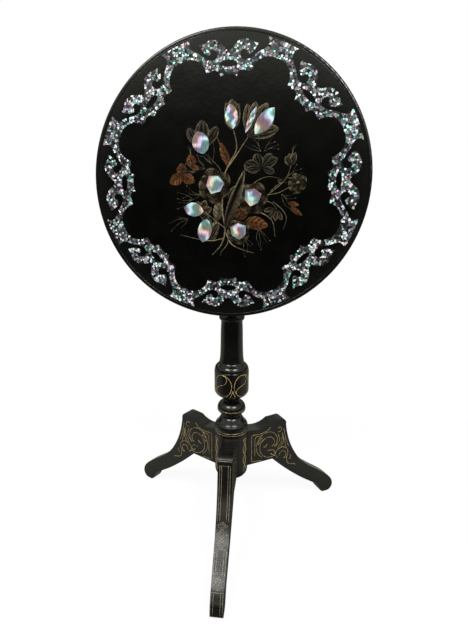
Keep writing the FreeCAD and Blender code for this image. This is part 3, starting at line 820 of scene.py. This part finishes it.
class Brush:
    """Lays strokes, leaves and petals on the face, each a hair above the one before."""

    def __init__(self):
        self.work = Patchwork()
        self.layer = 0

    def spot(self, place, tone, light=1.0):
        lift = PAINT_LIFT + PAINT_STEP * (self.layer % PAINT_LAYERS)
        place = (place.x * TOP_RADIUS, FACE_Y - lift, TOP_CENTRE_Z + place.y * TOP_RADIUS)
        return self.work.point(place, times(light, tone))

    def line(self, points, width, tone, taper=0.35, steps=8):
        """A stroke that thins towards its end, light along one side."""
        self.layer += 1
        path = curve(points, steps)
        width *= STROKE_SHARE
        rows = []
        for n, p in enumerate(path):
            ahead = path[min(n + 1, len(path) - 1)] - path[max(n - 1, 0)]
            side = Vector((-ahead.y, ahead.x)).normalized()
            t = n / (len(path) - 1)
            half = 0.5 * width * (1 - (1 - taper) * t)
            fade = 0.5 + 0.5 * sin(pi * min(1, 0.15 + t)) ** 2
            rows.append([self.spot(p + side * half * offset, tone, light * fade)
                         for offset, light in ((1, 0.35), (0.35, 1.2), (-1, 0.45))])
        for a, b in zip(rows, rows[1:]):
            for k in (0, 1):
                self.work.faces.append((a[k + 1], b[k + 1], b[k], a[k]))

    def blade(self, foot, heading, length, width, bend, widest, light_at, tone):
        """A pointed shape from its foot along a heading in degrees, shaded by light_at(along, across)."""
        self.layer += 1
        ahead, side = headed(heading)
        swelling = log(0.5) / log(widest)
        shares = [j / BLADE_ACROSS for j in range(-BLADE_ACROSS, BLADE_ACROSS + 1)]
        grid = []
        for i in range(BLADE_ALONG + 1):
            t = i / BLADE_ALONG
            middle = Vector(foot) + ahead * length * t + side * bend * length * sin(pi * t / 2) ** 2
            if 0 < t < 1:
                half = side * 0.5 * width * sin(pi * t ** swelling) ** 0.75
                grid.append([self.spot(middle + half * s, tone, light_at(t, s)) for s in shares])
            else:
                grid.append([self.spot(middle, tone, light_at(t, 0.0))] * len(shares))
        for a, b in zip(grid, grid[1:]):
            for j in range(2 * BLADE_ACROSS):
                corners = (a[j], b[j], b[j + 1], a[j + 1])
                self.work.faces.append(tuple(dict.fromkeys(corners)))

    def leaf(self, foot, heading, length, width, tone, bend=0.0, veins=5):
        """A leaf: a dark midrib and slanting veins, one half in shade, light towards its edges."""

        def light_at(t, s):
            vein = (veins * (t - 0.22 * abs(s))) % 1.0
            if abs(s) < 0.12 or vein < 0.25:
                return 0.12
            half = 1.15 if s > 0 else 0.7
            return half * (0.4 + 0.6 * vein) * (0.45 + 0.55 * t) * (1.25 if abs(s) > 0.75 else 1.0)

        self.blade(foot, heading, length, width, bend, LEAF_WIDEST, light_at, tone)

    def petal(self, foot, heading, length, width, tone, bend=0.0, widest=0.6, streaks=3):
        """A petal: dark at its foot, fine streaks along it, and a pale edge on its tip and one side."""

        def light_at(t, s):
            streak = (0.5 + 0.5 * cos(pi * streaks * s + 3.0 * t)) ** 2
            rim = abs(s) ** 5 * (1.15 if s > 0 else 0.6)
            tip = max(0.0, t - 0.82) * 3.0
            return (0.1 + 0.3 * t) * streak + (0.15 + 0.95 * t) * rim + tip * (0.5 + 0.5 * s)

        self.blade(foot, heading, length, width, bend, widest, light_at, tone)

    def flower(self, foot, tone, widest, *petals):
        """Petals from one foot, each with its heading, length, width and bend."""
        for heading, length, width, bend in petals:
            self.petal(foot, heading, length, width, tone, bend, widest)

    def dot(self, place, radius, tone):
        self.layer += 1
        place = Vector(place)
        middle = self.spot(place, tone)
        ring = [self.spot(place + Vector((cos(angle), sin(angle))) * radius, tone, 0.6)
                for angle in turns(DOT_SIDES)]
        self.work.fan(middle, ring)

    def rosette(self, centre, radius, tone, turn):
        """Ragged petals in three overlapping rings, each dark at its sides and pale at its tip."""
        petals = 6

        def light_at(t, s):
            if abs(s) > 0.84:
                return 0.08
            fold = 0.6 + 0.4 * cos(5 * s + 8 * t)
            return (0.12 + 0.45 * t ** 2) * fold * (1.0 + 0.5 * s) + (0.4 if 0.88 < t < 0.97 else 0.0)

        for ring, reach in ((0, 1.0), (0.5, 0.9), (0.2, 0.76)):
            for n in range(petals):
                heading = turn + 360 * (n + ring) / petals + 14 * sin(7 * n + 11 * ring)
                length = radius * reach * (1 + 0.16 * sin(5 * n + 7 * ring))
                light = 0.7 + 0.3 * cos(radians(heading - 115))
                width = 0.95 * radius * reach
                self.blade(centre, heading, length, width, 0.12, 0.74, light_at, times(light, tone))


# Fine sprays of twigs: where each starts and its heading
TWIGS = (
    ((-0.17, 0.09), 150), ((-0.24, 0.07), 172), ((-0.2, -0.09), 178), ((-0.26, -0.12), 190),
    ((0.23, 0.2), 140), ((0.25, 0.2), 40), ((0.38, -0.09), -32), ((0.22, -0.33), -65),
    ((0.12, -0.4), -60), ((-0.12, 0.12), 118), ((-0.3, -0.26), 205), ((0.4, 0.02), 20),
)
TWIG_WIDTH = 0.0032
SEED_RADIUS = 0.004

# Stems: width, tone and taper, then the places along each
SPRAY_FOOT = (-0.023, -0.33)
STEMS = (
    (0.016, STONE, 0.5, SPRAY_FOOT, (-0.034, -0.4), (-0.06, -0.46), (-0.12, -0.525)),
    (0.013, STRAW, 0.8, SPRAY_FOOT, (-0.045, -0.18), (-0.03, 0.03), (0.0, 0.114), (0.05, 0.2),
     (0.056, 0.26), (0.034, 0.35)),
    (0.013, STRAW, 0.8, (-0.04, -0.06), (-0.02, 0.07), (0.034, 0.15), (0.09, 0.23), (0.138, 0.3)),
    (0.007, SMOKE, 0.35, (-0.03, 0.02), (-0.07, 0.1), (-0.13, 0.16), (-0.185, 0.21)),
    (0.008, BRONZE, 0.6, (-0.045, 0.2), (-0.06, 0.25), (-0.092, 0.325)),
    (0.008, STRAW, 0.7, (0.02, -0.24), (0.2, -0.15), (0.34, -0.05), (0.41, 0.02), (0.44, 0.1)),
    (0.007, STONE, 0.35, (0.26, -0.1), (0.36, -0.08), (0.42, -0.05), (0.48, -0.03)),
    (0.006, STONE, 0.35, (0.3, -0.07), (0.36, -0.02), (0.42, -0.01)),
    (0.009, STONE, 0.35, SPRAY_FOOT, (-0.1, -0.27), (-0.17, -0.21)),
    (0.012, STRAW, 0.35, (-0.03, -0.4), (-0.12, -0.42), (-0.22, -0.41), (-0.36, -0.378)),
    (0.012, STRAW, 0.35, (-0.02, -0.36), (0.02, -0.44), (0.09, -0.48), (0.19, -0.51)),
    (0.006, STONE, 0.35, (0.0, -0.4), (-0.01, -0.45), (-0.05, -0.5), (-0.06, -0.53)),
    (0.01, STRAW, 0.35, (0.16, -0.2), (0.25, -0.225), (0.32, -0.28), (0.343, -0.39)),
    (0.006, STONE, 0.35, (0.32, -0.14), (0.39, -0.2), (0.42, -0.26), (0.4, -0.335)),
    (0.007, STONE, 0.35, (0.15, -0.06), (0.2, 0.0), (0.28, 0.03), (0.36, 0.02)),
)

# Leaves: foot, heading, length, width and tone, then bend and veins where they aren't the usual ones
FAR_LEAVES = (
    ((0.0, 0.105), 106, 0.175, 0.056, BRONZE, 0.06),
    ((-0.339, 0.048), 92, 0.085, 0.075, UMBER),
    ((-0.335, 0.045), 208, 0.11, 0.082, BRONZE),
    ((-0.335, 0.045), 332, 0.1, 0.078, BRONZE),
    ((-0.262, 0.105), 100, 0.09, 0.07, BRONZE),
    ((-0.262, 0.11), 330, 0.055, 0.035, BRONZE),
)
RIGHT_LEAVES = (
    ((0.055, -0.265), 45, 0.12, 0.085, UMBER),
    ((0.125, -0.275), 347, 0.17, 0.095, BRONZE),
    ((0.425, -0.15), 347, 0.085, 0.036, BRONZE),
    ((0.445, -0.18), 325, 0.105, 0.036, BRONZE),
)
NEAR_LEAVES = (
    ((-0.082, -0.275), 86, 0.145, 0.07, STONE),
    ((-0.115, -0.42), 82, 0.155, 0.056, STONE, 0.0, 3),
    ((-0.13, -0.41), 62, 0.135, 0.045, SMOKE, 0.0, 3),
)
HAIR_TURNS = (80, 104, 125)    # radians, so the tips of the three hairs lie unevenly


def twigs(brush, dice):
    """Fine sprays of twigs with seeds, out to both sides."""
    for start, heading in TWIGS:
        for swing in (-30, -12, 6, 24):
            ahead, side = headed(heading + swing + dice.uniform(-6, 6))
            length = dice.uniform(0.07, 0.16)
            side *= dice.uniform(-0.014, 0.014)
            foot = Vector(start)
            tip = foot + ahead * length + side
            brush.line([foot, foot + ahead * 0.5 * length - side, tip], TWIG_WIDTH, SMOKE, 0.5, 6)
            if dice.random() < 0.5:
                brush.dot(tip, SEED_RADIUS, SMOKE)


def painted_flowers(brush):
    """Flowers with no shell, to the right: an open one, a bud, a round one and a spray of bells."""
    brush.flower((0.235, 0.095), SMOKE, 0.6, (150, 0.12, 0.09, 0.3), (102, 0.1, 0.07, 0.2),
                 (52, 0.115, 0.062, 0), (18, 0.125, 0.06, 0.15), (-22, 0.1, 0.05, 0),
                 (205, 0.1, 0.06, -0.2))
    brush.flower((0.438, 0.1), STONE, 0.5, (96, 0.085, 0.048, 0), (72, 0.095, 0.048, 0),
                 (118, 0.075, 0.048, 0))
    for tip in ((0.452, 0.235), (0.472, 0.245), (0.44, 0.22)):
        brush.line([(0.444, 0.17), (0.45, 0.2), tip], 0.005, STONE)
    brush.rosette((0.492, -0.012), 0.066, STONE, 15)
    brush.dot((0.492, -0.012), 0.012, STRAW)
    brush.petal((0.395, -0.005), 170, 0.045, 0.03, STONE)
    bells = (((0.345, -0.195), 232), ((0.35, -0.195), 262), ((0.355, -0.195), 292), ((0.34, -0.19), 190))
    for foot, heading in bells:
        brush.petal(foot, heading, 0.085, 0.032, STONE)
    brush.line([(0.24, -0.13), (0.31, -0.15), (0.35, -0.195)], 0.006, STRAW)


def foliage(brush):
    for leaf in FAR_LEAVES:
        brush.leaf(*leaf)
    for turn in HAIR_TURNS:
        brush.line([(-0.27, 0.185), (-0.275, 0.21), (-0.272 + 0.02 * cos(turn), 0.245)], 0.005, STONE)
    for leaf in RIGHT_LEAVES:
        brush.leaf(*leaf)
    brush.petal((-0.022, -0.335), 74, 0.44, 0.08, STONE, -0.04, 0.42, 1)
    brush.petal((0.0, -0.12), 62, 0.1, 0.045, STONE, widest=0.5)
    for leaf in NEAR_LEAVES:
        brush.leaf(*leaf)


def roses(brush):
    """Painted petals round the faceted shell pieces, and behind the two low shell petals."""
    brush.rosette((-0.098, -0.018), 0.118, ROSE, 12)
    brush.rosette((0.174, -0.108), 0.11, ROSE, 40)
    brush.rosette((0.076, -0.35), 0.086, ROSE, 20)
    brush.flower((-0.215, -0.22), STONE, 0.55, (100, 0.085, 0.055, 0), (60, 0.105, 0.055, 0),
                 (20, 0.1, 0.055, 0), (-30, 0.085, 0.055, 0))
    brush.flower((-0.15, -0.425), STONE, 0.5, (84, 0.165, 0.05, 0), (62, 0.165, 0.05, 0),
                 (104, 0.165, 0.05, 0))


def tulips(brush):
    """Three tulips: painted outer petals behind the shell ones."""
    brush.flower((-0.188, 0.205), SMOKE, 0.62, (112, 0.19, 0.075, 0.16), (66, 0.2, 0.075, -0.14),
                 (90, 0.215, 0.1, 0))
    brush.flower((0.03, 0.345), STONE, 0.5, (118, 0.185, 0.07, -0.22), (64, 0.175, 0.065, 0.22),
                 (92, 0.205, 0.1, 0))
    brush.flower((0.14, 0.298), STONE, 0.6, (100, 0.215, 0.07, -0.12), (78, 0.235, 0.075, 0),
                 (56, 0.255, 0.085, 0.05), (8, 0.215, 0.085, 0.1), (34, 0.21, 0.08, 0))


def painted_spray():
    brush = Brush()
    twigs(brush, random.Random(SEED + 1))
    for width, tone, taper, *points in STEMS:
        brush.line(points, width, tone, taper)
    painted_flowers(brush)
    foliage(brush)
    roses(brush)
    tulips(brush)
    name = "painted_spray"
    finished(name, brush.work.mesh(name), PAINT, "top", "lacquered_top")


# Gilt lines, laid on the surfaces that they decorate

class GiltLines:
    """Low three-sided beads along lines on a surface; lay gives the place and normal for two values."""

    def __init__(self, lay):
        self.work = Patchwork()
        self.lay = lay

    def line(self, points, width=GILT_WIDTH, steps=6):
        placed = [self.lay(*p) for p in curve(points, steps)]
        placed = [p for p in placed if p]
        if len(placed) < 2:
            return
        closed = (placed[0][0] - placed[-1][0]).length < WELD
        if closed:
            placed.pop()
        last = len(placed) - 1
        rows = []
        for n, (spot, normal) in enumerate(placed):
            before, after = (n - 1, (n + 1) % len(placed)) if closed else (max(n - 1, 0), min(n + 1, last))
            ahead = placed[after][0] - placed[before][0]
            side = normal.cross(ahead).normalized() * width / 2
            low = spot - normal * GILT_SINK
            rows.append([self.work.point(p) for p in (low - side, low + side, spot + normal * GILT_HEIGHT)])
        for a, b in sides(rows) if closed else zip(rows, rows[1:]):
            self.work.band(a, b)
        if not closed:
            self.work.faces.append(tuple(reversed(rows[0])))
            self.work.faces.append(tuple(rows[-1]))

    def dot(self, place):
        found = self.lay(*place)
        if not found:
            return
        spot, normal = found
        side = normal.orthogonal().normalized()
        other = normal.cross(side)
        peak = self.work.point(spot + normal * 2 * GILT_HEIGHT)
        ring = []
        for angle in turns(DOT_SIDES):
            offset = (side * cos(angle) + other * sin(angle)) * DOT_RADIUS
            ring.append(self.work.point(spot + offset - normal * GILT_SINK))
        self.work.fan(peak, ring)
        self.work.faces.append(tuple(reversed(ring)))

    def finish(self, name, material=GILT):
        finished(name, self.work.mesh(name), material, "base", "ebonised_wood")


def touched(solid, start, way, facing=-1.0):
    """Where a ray meets a solid, with the normal there, if the surface faces the ray enough."""
    spot, normal, _, _ = solid.ray_cast(start, way)
    return (spot, normal) if spot and normal.dot(-way) > facing else None


def round_the_pillar(solid):
    """Lays (angle in degrees, height) on a turned piece."""

    def lay(angle, height):
        out = headed(angle)[0].to_3d()
        return touched(solid, out * FAR + Vector((0, 0, height)), -out)

    return lay


# Drum: places in an oval are shares of half its width and height, those in a fork of the ovals' spacing
# and half height
DRUM_LOW, DRUM_HIGH = 0.3185, 0.369
OVAL_COUNT = 5
OVAL_STEPS = 12
OVAL_START = -80.5    # degrees
OVAL_SHARE = 0.44    # half the width of an oval, of the spacing
PARTING = ((-0.1, 0.99), (0.36, 0.84), (0.48, 0.55), (0.3, 0.22), (-0.08, 0.04), (-0.46, -0.09),
           (-0.72, -0.34), (-0.78, -0.62))
FORK = ((0.0, -0.38), (0.05, -0.68), (0.13, -1.0))
OVAL_WIDTH = 0.0013
PARTING_WIDTH = 0.0012

# Knop and hub
RING_HEIGHTS = (0.28, 0.2318, 0.2272)
RING_WIDTH = 0.0012
RING_STEP = 5    # degrees
HUB_LOW, HUB_HIGH = 0.134, 0.214
HUB_PANELS = (-30, 90, 210)    # between the legs, in degrees
HUB_EDGE = 34    # from the middle of a panel to its edges, in degrees
HUB_EDGE_WIDTH = 0.0018
HUB_OVERRUN = 0.004
LACE_SWINGS = (5.0, 9.0)    # degrees
LACE_STEPS = 12


def drum_lines(solid):
    """Ovals parted by an S, round the drum, with a small fork at the foot between them."""
    lines = GiltLines(round_the_pillar(solid))
    middle = (DRUM_LOW + DRUM_HIGH) / 2
    half = (DRUM_HIGH - DRUM_LOW) / 2
    spacing = 360 / OVAL_COUNT
    width = OVAL_SHARE * spacing
    for n in range(OVAL_COUNT):
        centre = OVAL_START + spacing * (n + 0.5)
        oval = [(centre + width * cos(a), middle + half * sin(a)) for a in turns(OVAL_STEPS) + [tau]]
        lines.line(oval, OVAL_WIDTH)
        lines.line([(centre + x * width, middle + z * half) for x, z in PARTING], PARTING_WIDTH)
        fork = centre + spacing / 2
        for way in (-1, 1):
            lines.line([(fork + way * x * spacing, middle + z * half) for x, z in FORK], OVAL_WIDTH)
    lines.finish("gilt_drum")


def knop_lines(solid):
    lines = GiltLines(round_the_pillar(solid))
    for height in RING_HEIGHTS:
        lines.line([(angle, height) for angle in range(0, 361, RING_STEP)], RING_WIDTH, 1)
    lines.finish("gilt_knop")


def hub_lines(solid):
    """Between each pair of legs, long loops laced together."""
    lines = GiltLines(round_the_pillar(solid))
    tall = HUB_HIGH - HUB_LOW
    for centre in HUB_PANELS:
        for hand in (-1, 1):
            for swing in LACE_SWINGS:
                lines.line([(centre + hand * swing * cos(3 * pi * k / LACE_STEPS),
                             HUB_LOW + tall * k / LACE_STEPS) for k in range(LACE_STEPS + 1)])
        for edge in (centre - HUB_EDGE, centre + HUB_EDGE):
            lines.line([(edge, HUB_LOW - HUB_OVERRUN), (edge, HUB_HIGH + HUB_OVERRUN)], HUB_EDGE_WIDTH)
    lines.finish("gilt_hub")


# Leg scrolls: places are shares of the reach and of the height of a leg, radii shares of its height.
# A spiral has its centre, first angle and sweep in degrees, and first and last radius; a curl ends in a dot.
SPIRAL_STEPS = 14
VOLUTES = (
    ((0.32, 0.765), 240, -285, 0.165, 0.08),
    ((0.445, 0.6), 160, -205, 0.085, 0.075),
)
CURLS = (
    ((0.325, 0.745), 290, -330, 0.15, 0.04),
    ((0.45, 0.595), 190, -250, 0.035, 0.05),
    ((0.415, 0.893), 245, 240, 0.031, 0.021),
)
# A sprig has its two ends and its bow to the left, as a share of its length; a bud ends in a dot.
SPRIGS = (
    ((0.155, 0.6), (0.25, 0.59), 0.0),
    ((0.215, 0.77), (0.255, 0.84), 0.22),
    ((0.215, 0.77), (0.255, 0.84), -0.06),
    ((0.46, 0.885), (0.51, 0.675), -0.03),
    ((0.305, 0.68), (0.385, 0.63), 0.25),
    ((0.375, 0.705), (0.405, 0.845), -0.2),
    ((0.4, 0.68), (0.445, 0.845), -0.12),
    ((0.425, 0.67), (0.455, 0.82), -0.12),
    ((0.49, 0.66), (0.46, 0.78), 0.0),
)
BUDS = (
    ((0.265, 0.735), (0.295, 0.75), -0.4),
    ((0.385, 0.63), (0.34, 0.635), 0.3),
    ((0.365, 0.605), (0.4, 0.58), 0.3),
    ((0.495, 0.555), (0.58, 0.445), -0.25),
    ((0.52, 0.52), (0.535, 0.56), -0.2),
)
FRAME_LINES = (
    ((0.155, 0.6), (0.155, 0.74), (0.155, 0.87), (0.175, 0.89), (0.23, 0.885), (0.3, 0.905), (0.33, 0.94)),
    ((0.185, 0.65), (0.185, 0.75), (0.185, 0.84), (0.2, 0.865), (0.25, 0.865)),
)

# Shin: distances from its middle line, then tops and bottoms as shares of the height of a leg
SHIN_WIDTH = 0.0008
SHIN_LINES = (0.0108, 0.0066)
SHIN_FIELDS = ((0.93, 0.515, 14), (0.372, 0.262, 14))    # top, bottom and steps
SHIN_TOE = (0.195, 0.03, 10)    # the same, on the toe
SHIN_HEAD = (0.0135, 0.97)    # half the width of the bar at the knee, and its height
LOZENGE_BANDS = ((0.512, 0.376, 3), (0.258, 0.206, 2))    # top, bottom and number of lozenges
LOZENGE_HALF = 0.0098


def spiral(centre, first, sweep, start, end):
    """A scroll about a centre, its radius going evenly from one value to the other."""
    points = []
    for n in range(SPIRAL_STEPS + 1):
        angle = radians(first + sweep * n / SPIRAL_STEPS)
        radius = start + (end - start) * n / SPIRAL_STEPS
        across = radius * cos(angle) * LEG_HEIGHT / LEG_REACH
        points.append((centre[0] + across, centre[1] + radius * sin(angle)))
    return points


def bowed(start, end, bow):
    """A line between two places, bowed to its left."""
    ahead = Vector(end) - Vector(start)
    middle = Vector(start) + ahead / 2 + Vector((-ahead.y, ahead.x)) * bow
    return [start, middle, end]


def side_scrolls(lines):
    """The scrolls on one side of a leg."""
    for points in FRAME_LINES:
        lines.line(points, steps=8)
    for volute in VOLUTES:
        lines.line(spiral(*volute), steps=4)
    for sprig in SPRIGS:
        lines.line(bowed(*sprig), steps=8)
    for points in [spiral(*curl) for curl in CURLS] + [bowed(*bud) for bud in BUDS]:
        lines.line(points, steps=6)
        lines.dot(points[-1])


def leg_side(solid, angle, side):
    """Lays (share of the reach, share of the height) on one side of a leg."""
    out, across = [way.to_3d() for way in headed(angle)]

    def lay(reach, height):
        start = out * reach * LEG_REACH + across * side * FAR + Vector((0, 0, height * LEG_HEIGHT))
        return touched(solid, start, -across * side, FACING)

    return lay


def leg_front(solid, angle):
    """Lays (distance across, share of the height) on the shin of a leg, from outside."""
    out, across = [way.to_3d() for way in headed(angle)]

    def lay(offset, height):
        start = out * FAR + across * offset + Vector((0, 0, height * LEG_HEIGHT))
        return touched(solid, start, -out)

    return lay


def shin_bar(lines, half, height):
    lines.line([(-half, height), (0, height), (half, height)], SHIN_WIDTH, 2)


def shin_uprights(lines, top, bottom, steps):
    """Two lines on each side of the shin."""
    for side in (-1, 1):
        for offset in SHIN_LINES:
            points = [(side * offset, top + (bottom - top) * n / steps) for n in range(steps + 1)]
            lines.line(points, SHIN_WIDTH, 1)


def lozenges(lines, top, bottom, count):
    """A band of lozenges down the shin, each with a smaller one inside."""
    tall = (top - bottom) / count
    for n in range(count):
        mid = top - (n + 0.5) * tall
        for size in (1.0, 0.5):
            across = LOZENGE_HALF * size
            up = 0.5 * tall * size
            corners = [(0, mid + up), (across, mid), (0, mid - up), (-across, mid), (0, mid + up)]
            lines.line(corners, SHIN_WIDTH, 1)


def shin_lines(lay, name):
    """A double frame down the shin, broken by bands of laced lozenges, and lines on the toe."""
    lines = GiltLines(lay)
    for field in SHIN_FIELDS:
        shin_uprights(lines, *field)
        shin_bar(lines, SHIN_LINES[0], field[0])
    shin_bar(lines, *SHIN_HEAD)
    for band in LOZENGE_BANDS:
        lozenges(lines, *band)
    shin_uprights(lines, *SHIN_TOE)
    for height in SHIN_TOE[:2]:
        shin_bar(lines, SHIN_LINES[0], height)
    lines.finish(name, GILT_PALE)


def leg_lines(pieces):
    for leg, angle in LEG_ANGLES.items():
        solid = tree_of_piece(pieces[leg])
        for side, word in ((-1, "a"), (1, "b")):
            lines = GiltLines(leg_side(solid, angle, side))
            side_scrolls(lines)
            # the front leg's sides take the darker copy of the gilt: painted shade
            lines.finish(f"gilt_{leg}_{word}", GILT_SHADED if leg == "leg_front" else GILT)
        shin_lines(leg_front(solid, angle), f"gilt_{leg}_shin")


# Stage

EYE = (0.082, -0.913, 0.7142)
EYE_TURNS = (7.423, 13.069, -0.256)    # pan to the left, pitch down and roll, in degrees
LAMPS = {"lamp_left": (-0.76, -1.3, 2.2), "lamp_right": (0.9, -1.3, 2.2)}
LAMP_AIM = (0, 0, 0.55)
LAMP_SIZE = (0.95, 0.55)
LAMP_POWER = 27
ROOM_TINT = (1.0, 1.0, 0.87)    # the warm grey that the polish mirrors
FLOOR_HALF = 6.0
FLOOR_DROP = 0.0004    # floor below the soles, so that they don't share a plane


def camera():
    """The photograph's view: a wide lens a little right of the middle, looking slightly down."""
    data = bpy.data.cameras.new("camera")
    data.lens = 25.18
    data.sensor_width = 36.0
    data.shift_x = 0.0306
    eye = in_scene("camera", data)
    pan, pitch, roll = [radians(angle) for angle in EYE_TURNS]
    turn = Matrix.Rotation(pan, 4, "Z") @ Matrix.Rotation(pi / 2 - pitch, 4, "X")
    eye.matrix_world = Matrix.Translation(EYE) @ turn @ Matrix.Rotation(roll, 4, "Z")
    scene.camera = eye


def soft_lamp(name, place):
    data = bpy.data.lights.new(name, "AREA")
    data.shape = "RECTANGLE"
    data.size, data.size_y = LAMP_SIZE
    data.energy = LAMP_POWER
    lamp = in_scene(name, data)
    lamp.location = place
    lamp.rotation_euler = (Vector(LAMP_AIM) - Vector(place)).to_track_quat("-Z", "Y").to_euler()


def world():
    """White to the camera; what the polish mirrors is dark below, bright overhead and dimmer behind."""
    room = bpy.data.worlds.new("world")
    scene.world = room
    room.use_nodes = True
    look = Shading(room.node_tree)
    _, y, z = look.axes(look.source("TexCoord", "Generated"))
    height = look.maths("ADD", look.product(z, 0.5), 0.5)
    overhead = look.ramp(height, (0.4, 0.012), (0.53, 0.03), (0.6, 0.1), (0.635, 0.32), (0.665, 1.0),
                         (0.72, 1.0), (0.76, 0.38), (0.81, 0.38), (0.88, 0.95))
    depth = look.maths("ADD", look.product(y, 0.5), 0.5)
    behind = look.ramp(depth, (0.45, 1.0), (0.6, 0.55))
    mirrored = look.mixed(1.0, look.mixed(1.0, overhead, behind, "MULTIPLY"), ROOM_TINT, "MULTIPLY")
    seen, mirror = look.rays()
    level = look.mixed(seen, look.mixed(mirror, 0.45, mirrored), 1.0)
    look.feed(look.tree.nodes["Background"], {"Color": level})


def floor_finish():
    """White to the camera, with a soft shadow near the table; the polish mirrors it dimly."""
    look = Finish("pale_floor")
    look.tree.nodes.remove(look.shader)
    mottling = look.ramp(look.noise(3, 3), (0.3, (0.88, 0.88, 0.87)), (0.7, (0.92, 0.92, 0.91)))
    lit = look.add("BsdfDiffuse", {"Color": mottling}).outputs["BSDF"]
    position = look.source("NewGeometry", "Position")
    away = look.add("VectorMath", {0: position}, operation="LENGTH").outputs["Value"]
    share = look.ramp(away, (0.4, 0.88), (1.0, 1.0))
    brightness = look.ramp(away, (0.4, 1.0), (1.0, 0.965))
    x, y, _ = look.axes(position)
    near = look.ramp(look.maths("ADD", y, 1.0), (0.45, 0.0), (0.75, 1.0))
    beside = look.ramp(look.maths("ABSOLUTE", x), (0.1, 0.06), (0.3, 1.0))
    mirrored = look.mixed(look.product(near, beside), (0.03, 0.03, 0.027), (0.34, 0.345, 0.295))
    seen, mirror = look.rays()
    level = look.mixed(mirror, brightness, mirrored)
    white = look.add("Emission", {"Color": level, "Strength": 1.04}).outputs["Emission"]
    shown = look.product(share, look.maths("MAXIMUM", seen, mirror))
    share = look.maths("MAXIMUM", shown, look.product(mirror, 0.98))
    both = look.add("MixShader", {"Fac": share, 1: lit, 2: white}).outputs["Shader"]
    look.feed(look.tree.nodes["Material Output"], {"Surface": both})
    return look.material


def floor():
    mesh = bpy.data.meshes.new("floor")
    corners = [(x * FLOOR_HALF, y * FLOOR_HALF, 0) for x, y in ((-1, -1), (1, -1), (1, 1), (-1, 1))]
    mesh.from_pydata(corners, [], [(0, 1, 2, 3)])
    mesh.materials.append(floor_finish())
    piece = in_scene("floor", mesh)
    piece.location.z = -FLOOR_DROP


carried_over()
wound_spring()
wooden = wooden_pieces()
for number in range(1, BORDER_REPEATS + 1):
    shell_mosaic(f"shell_border_{number}", random.Random(SEED + 10 * number))
shell_petals(random.Random(SEED + 2))
painted_spray()
drum_lines(tree_of_piece(wooden["drum_section"]))
knop_lines(tree_of_piece(wooden["knop_section"]))
hub_lines(tree_of("hub"))
leg_lines(wooden)
camera()
for name, place in LAMPS.items():
    soft_lamp(name, place)
world()
floor()
scene.view_settings.view_transform = "Standard"
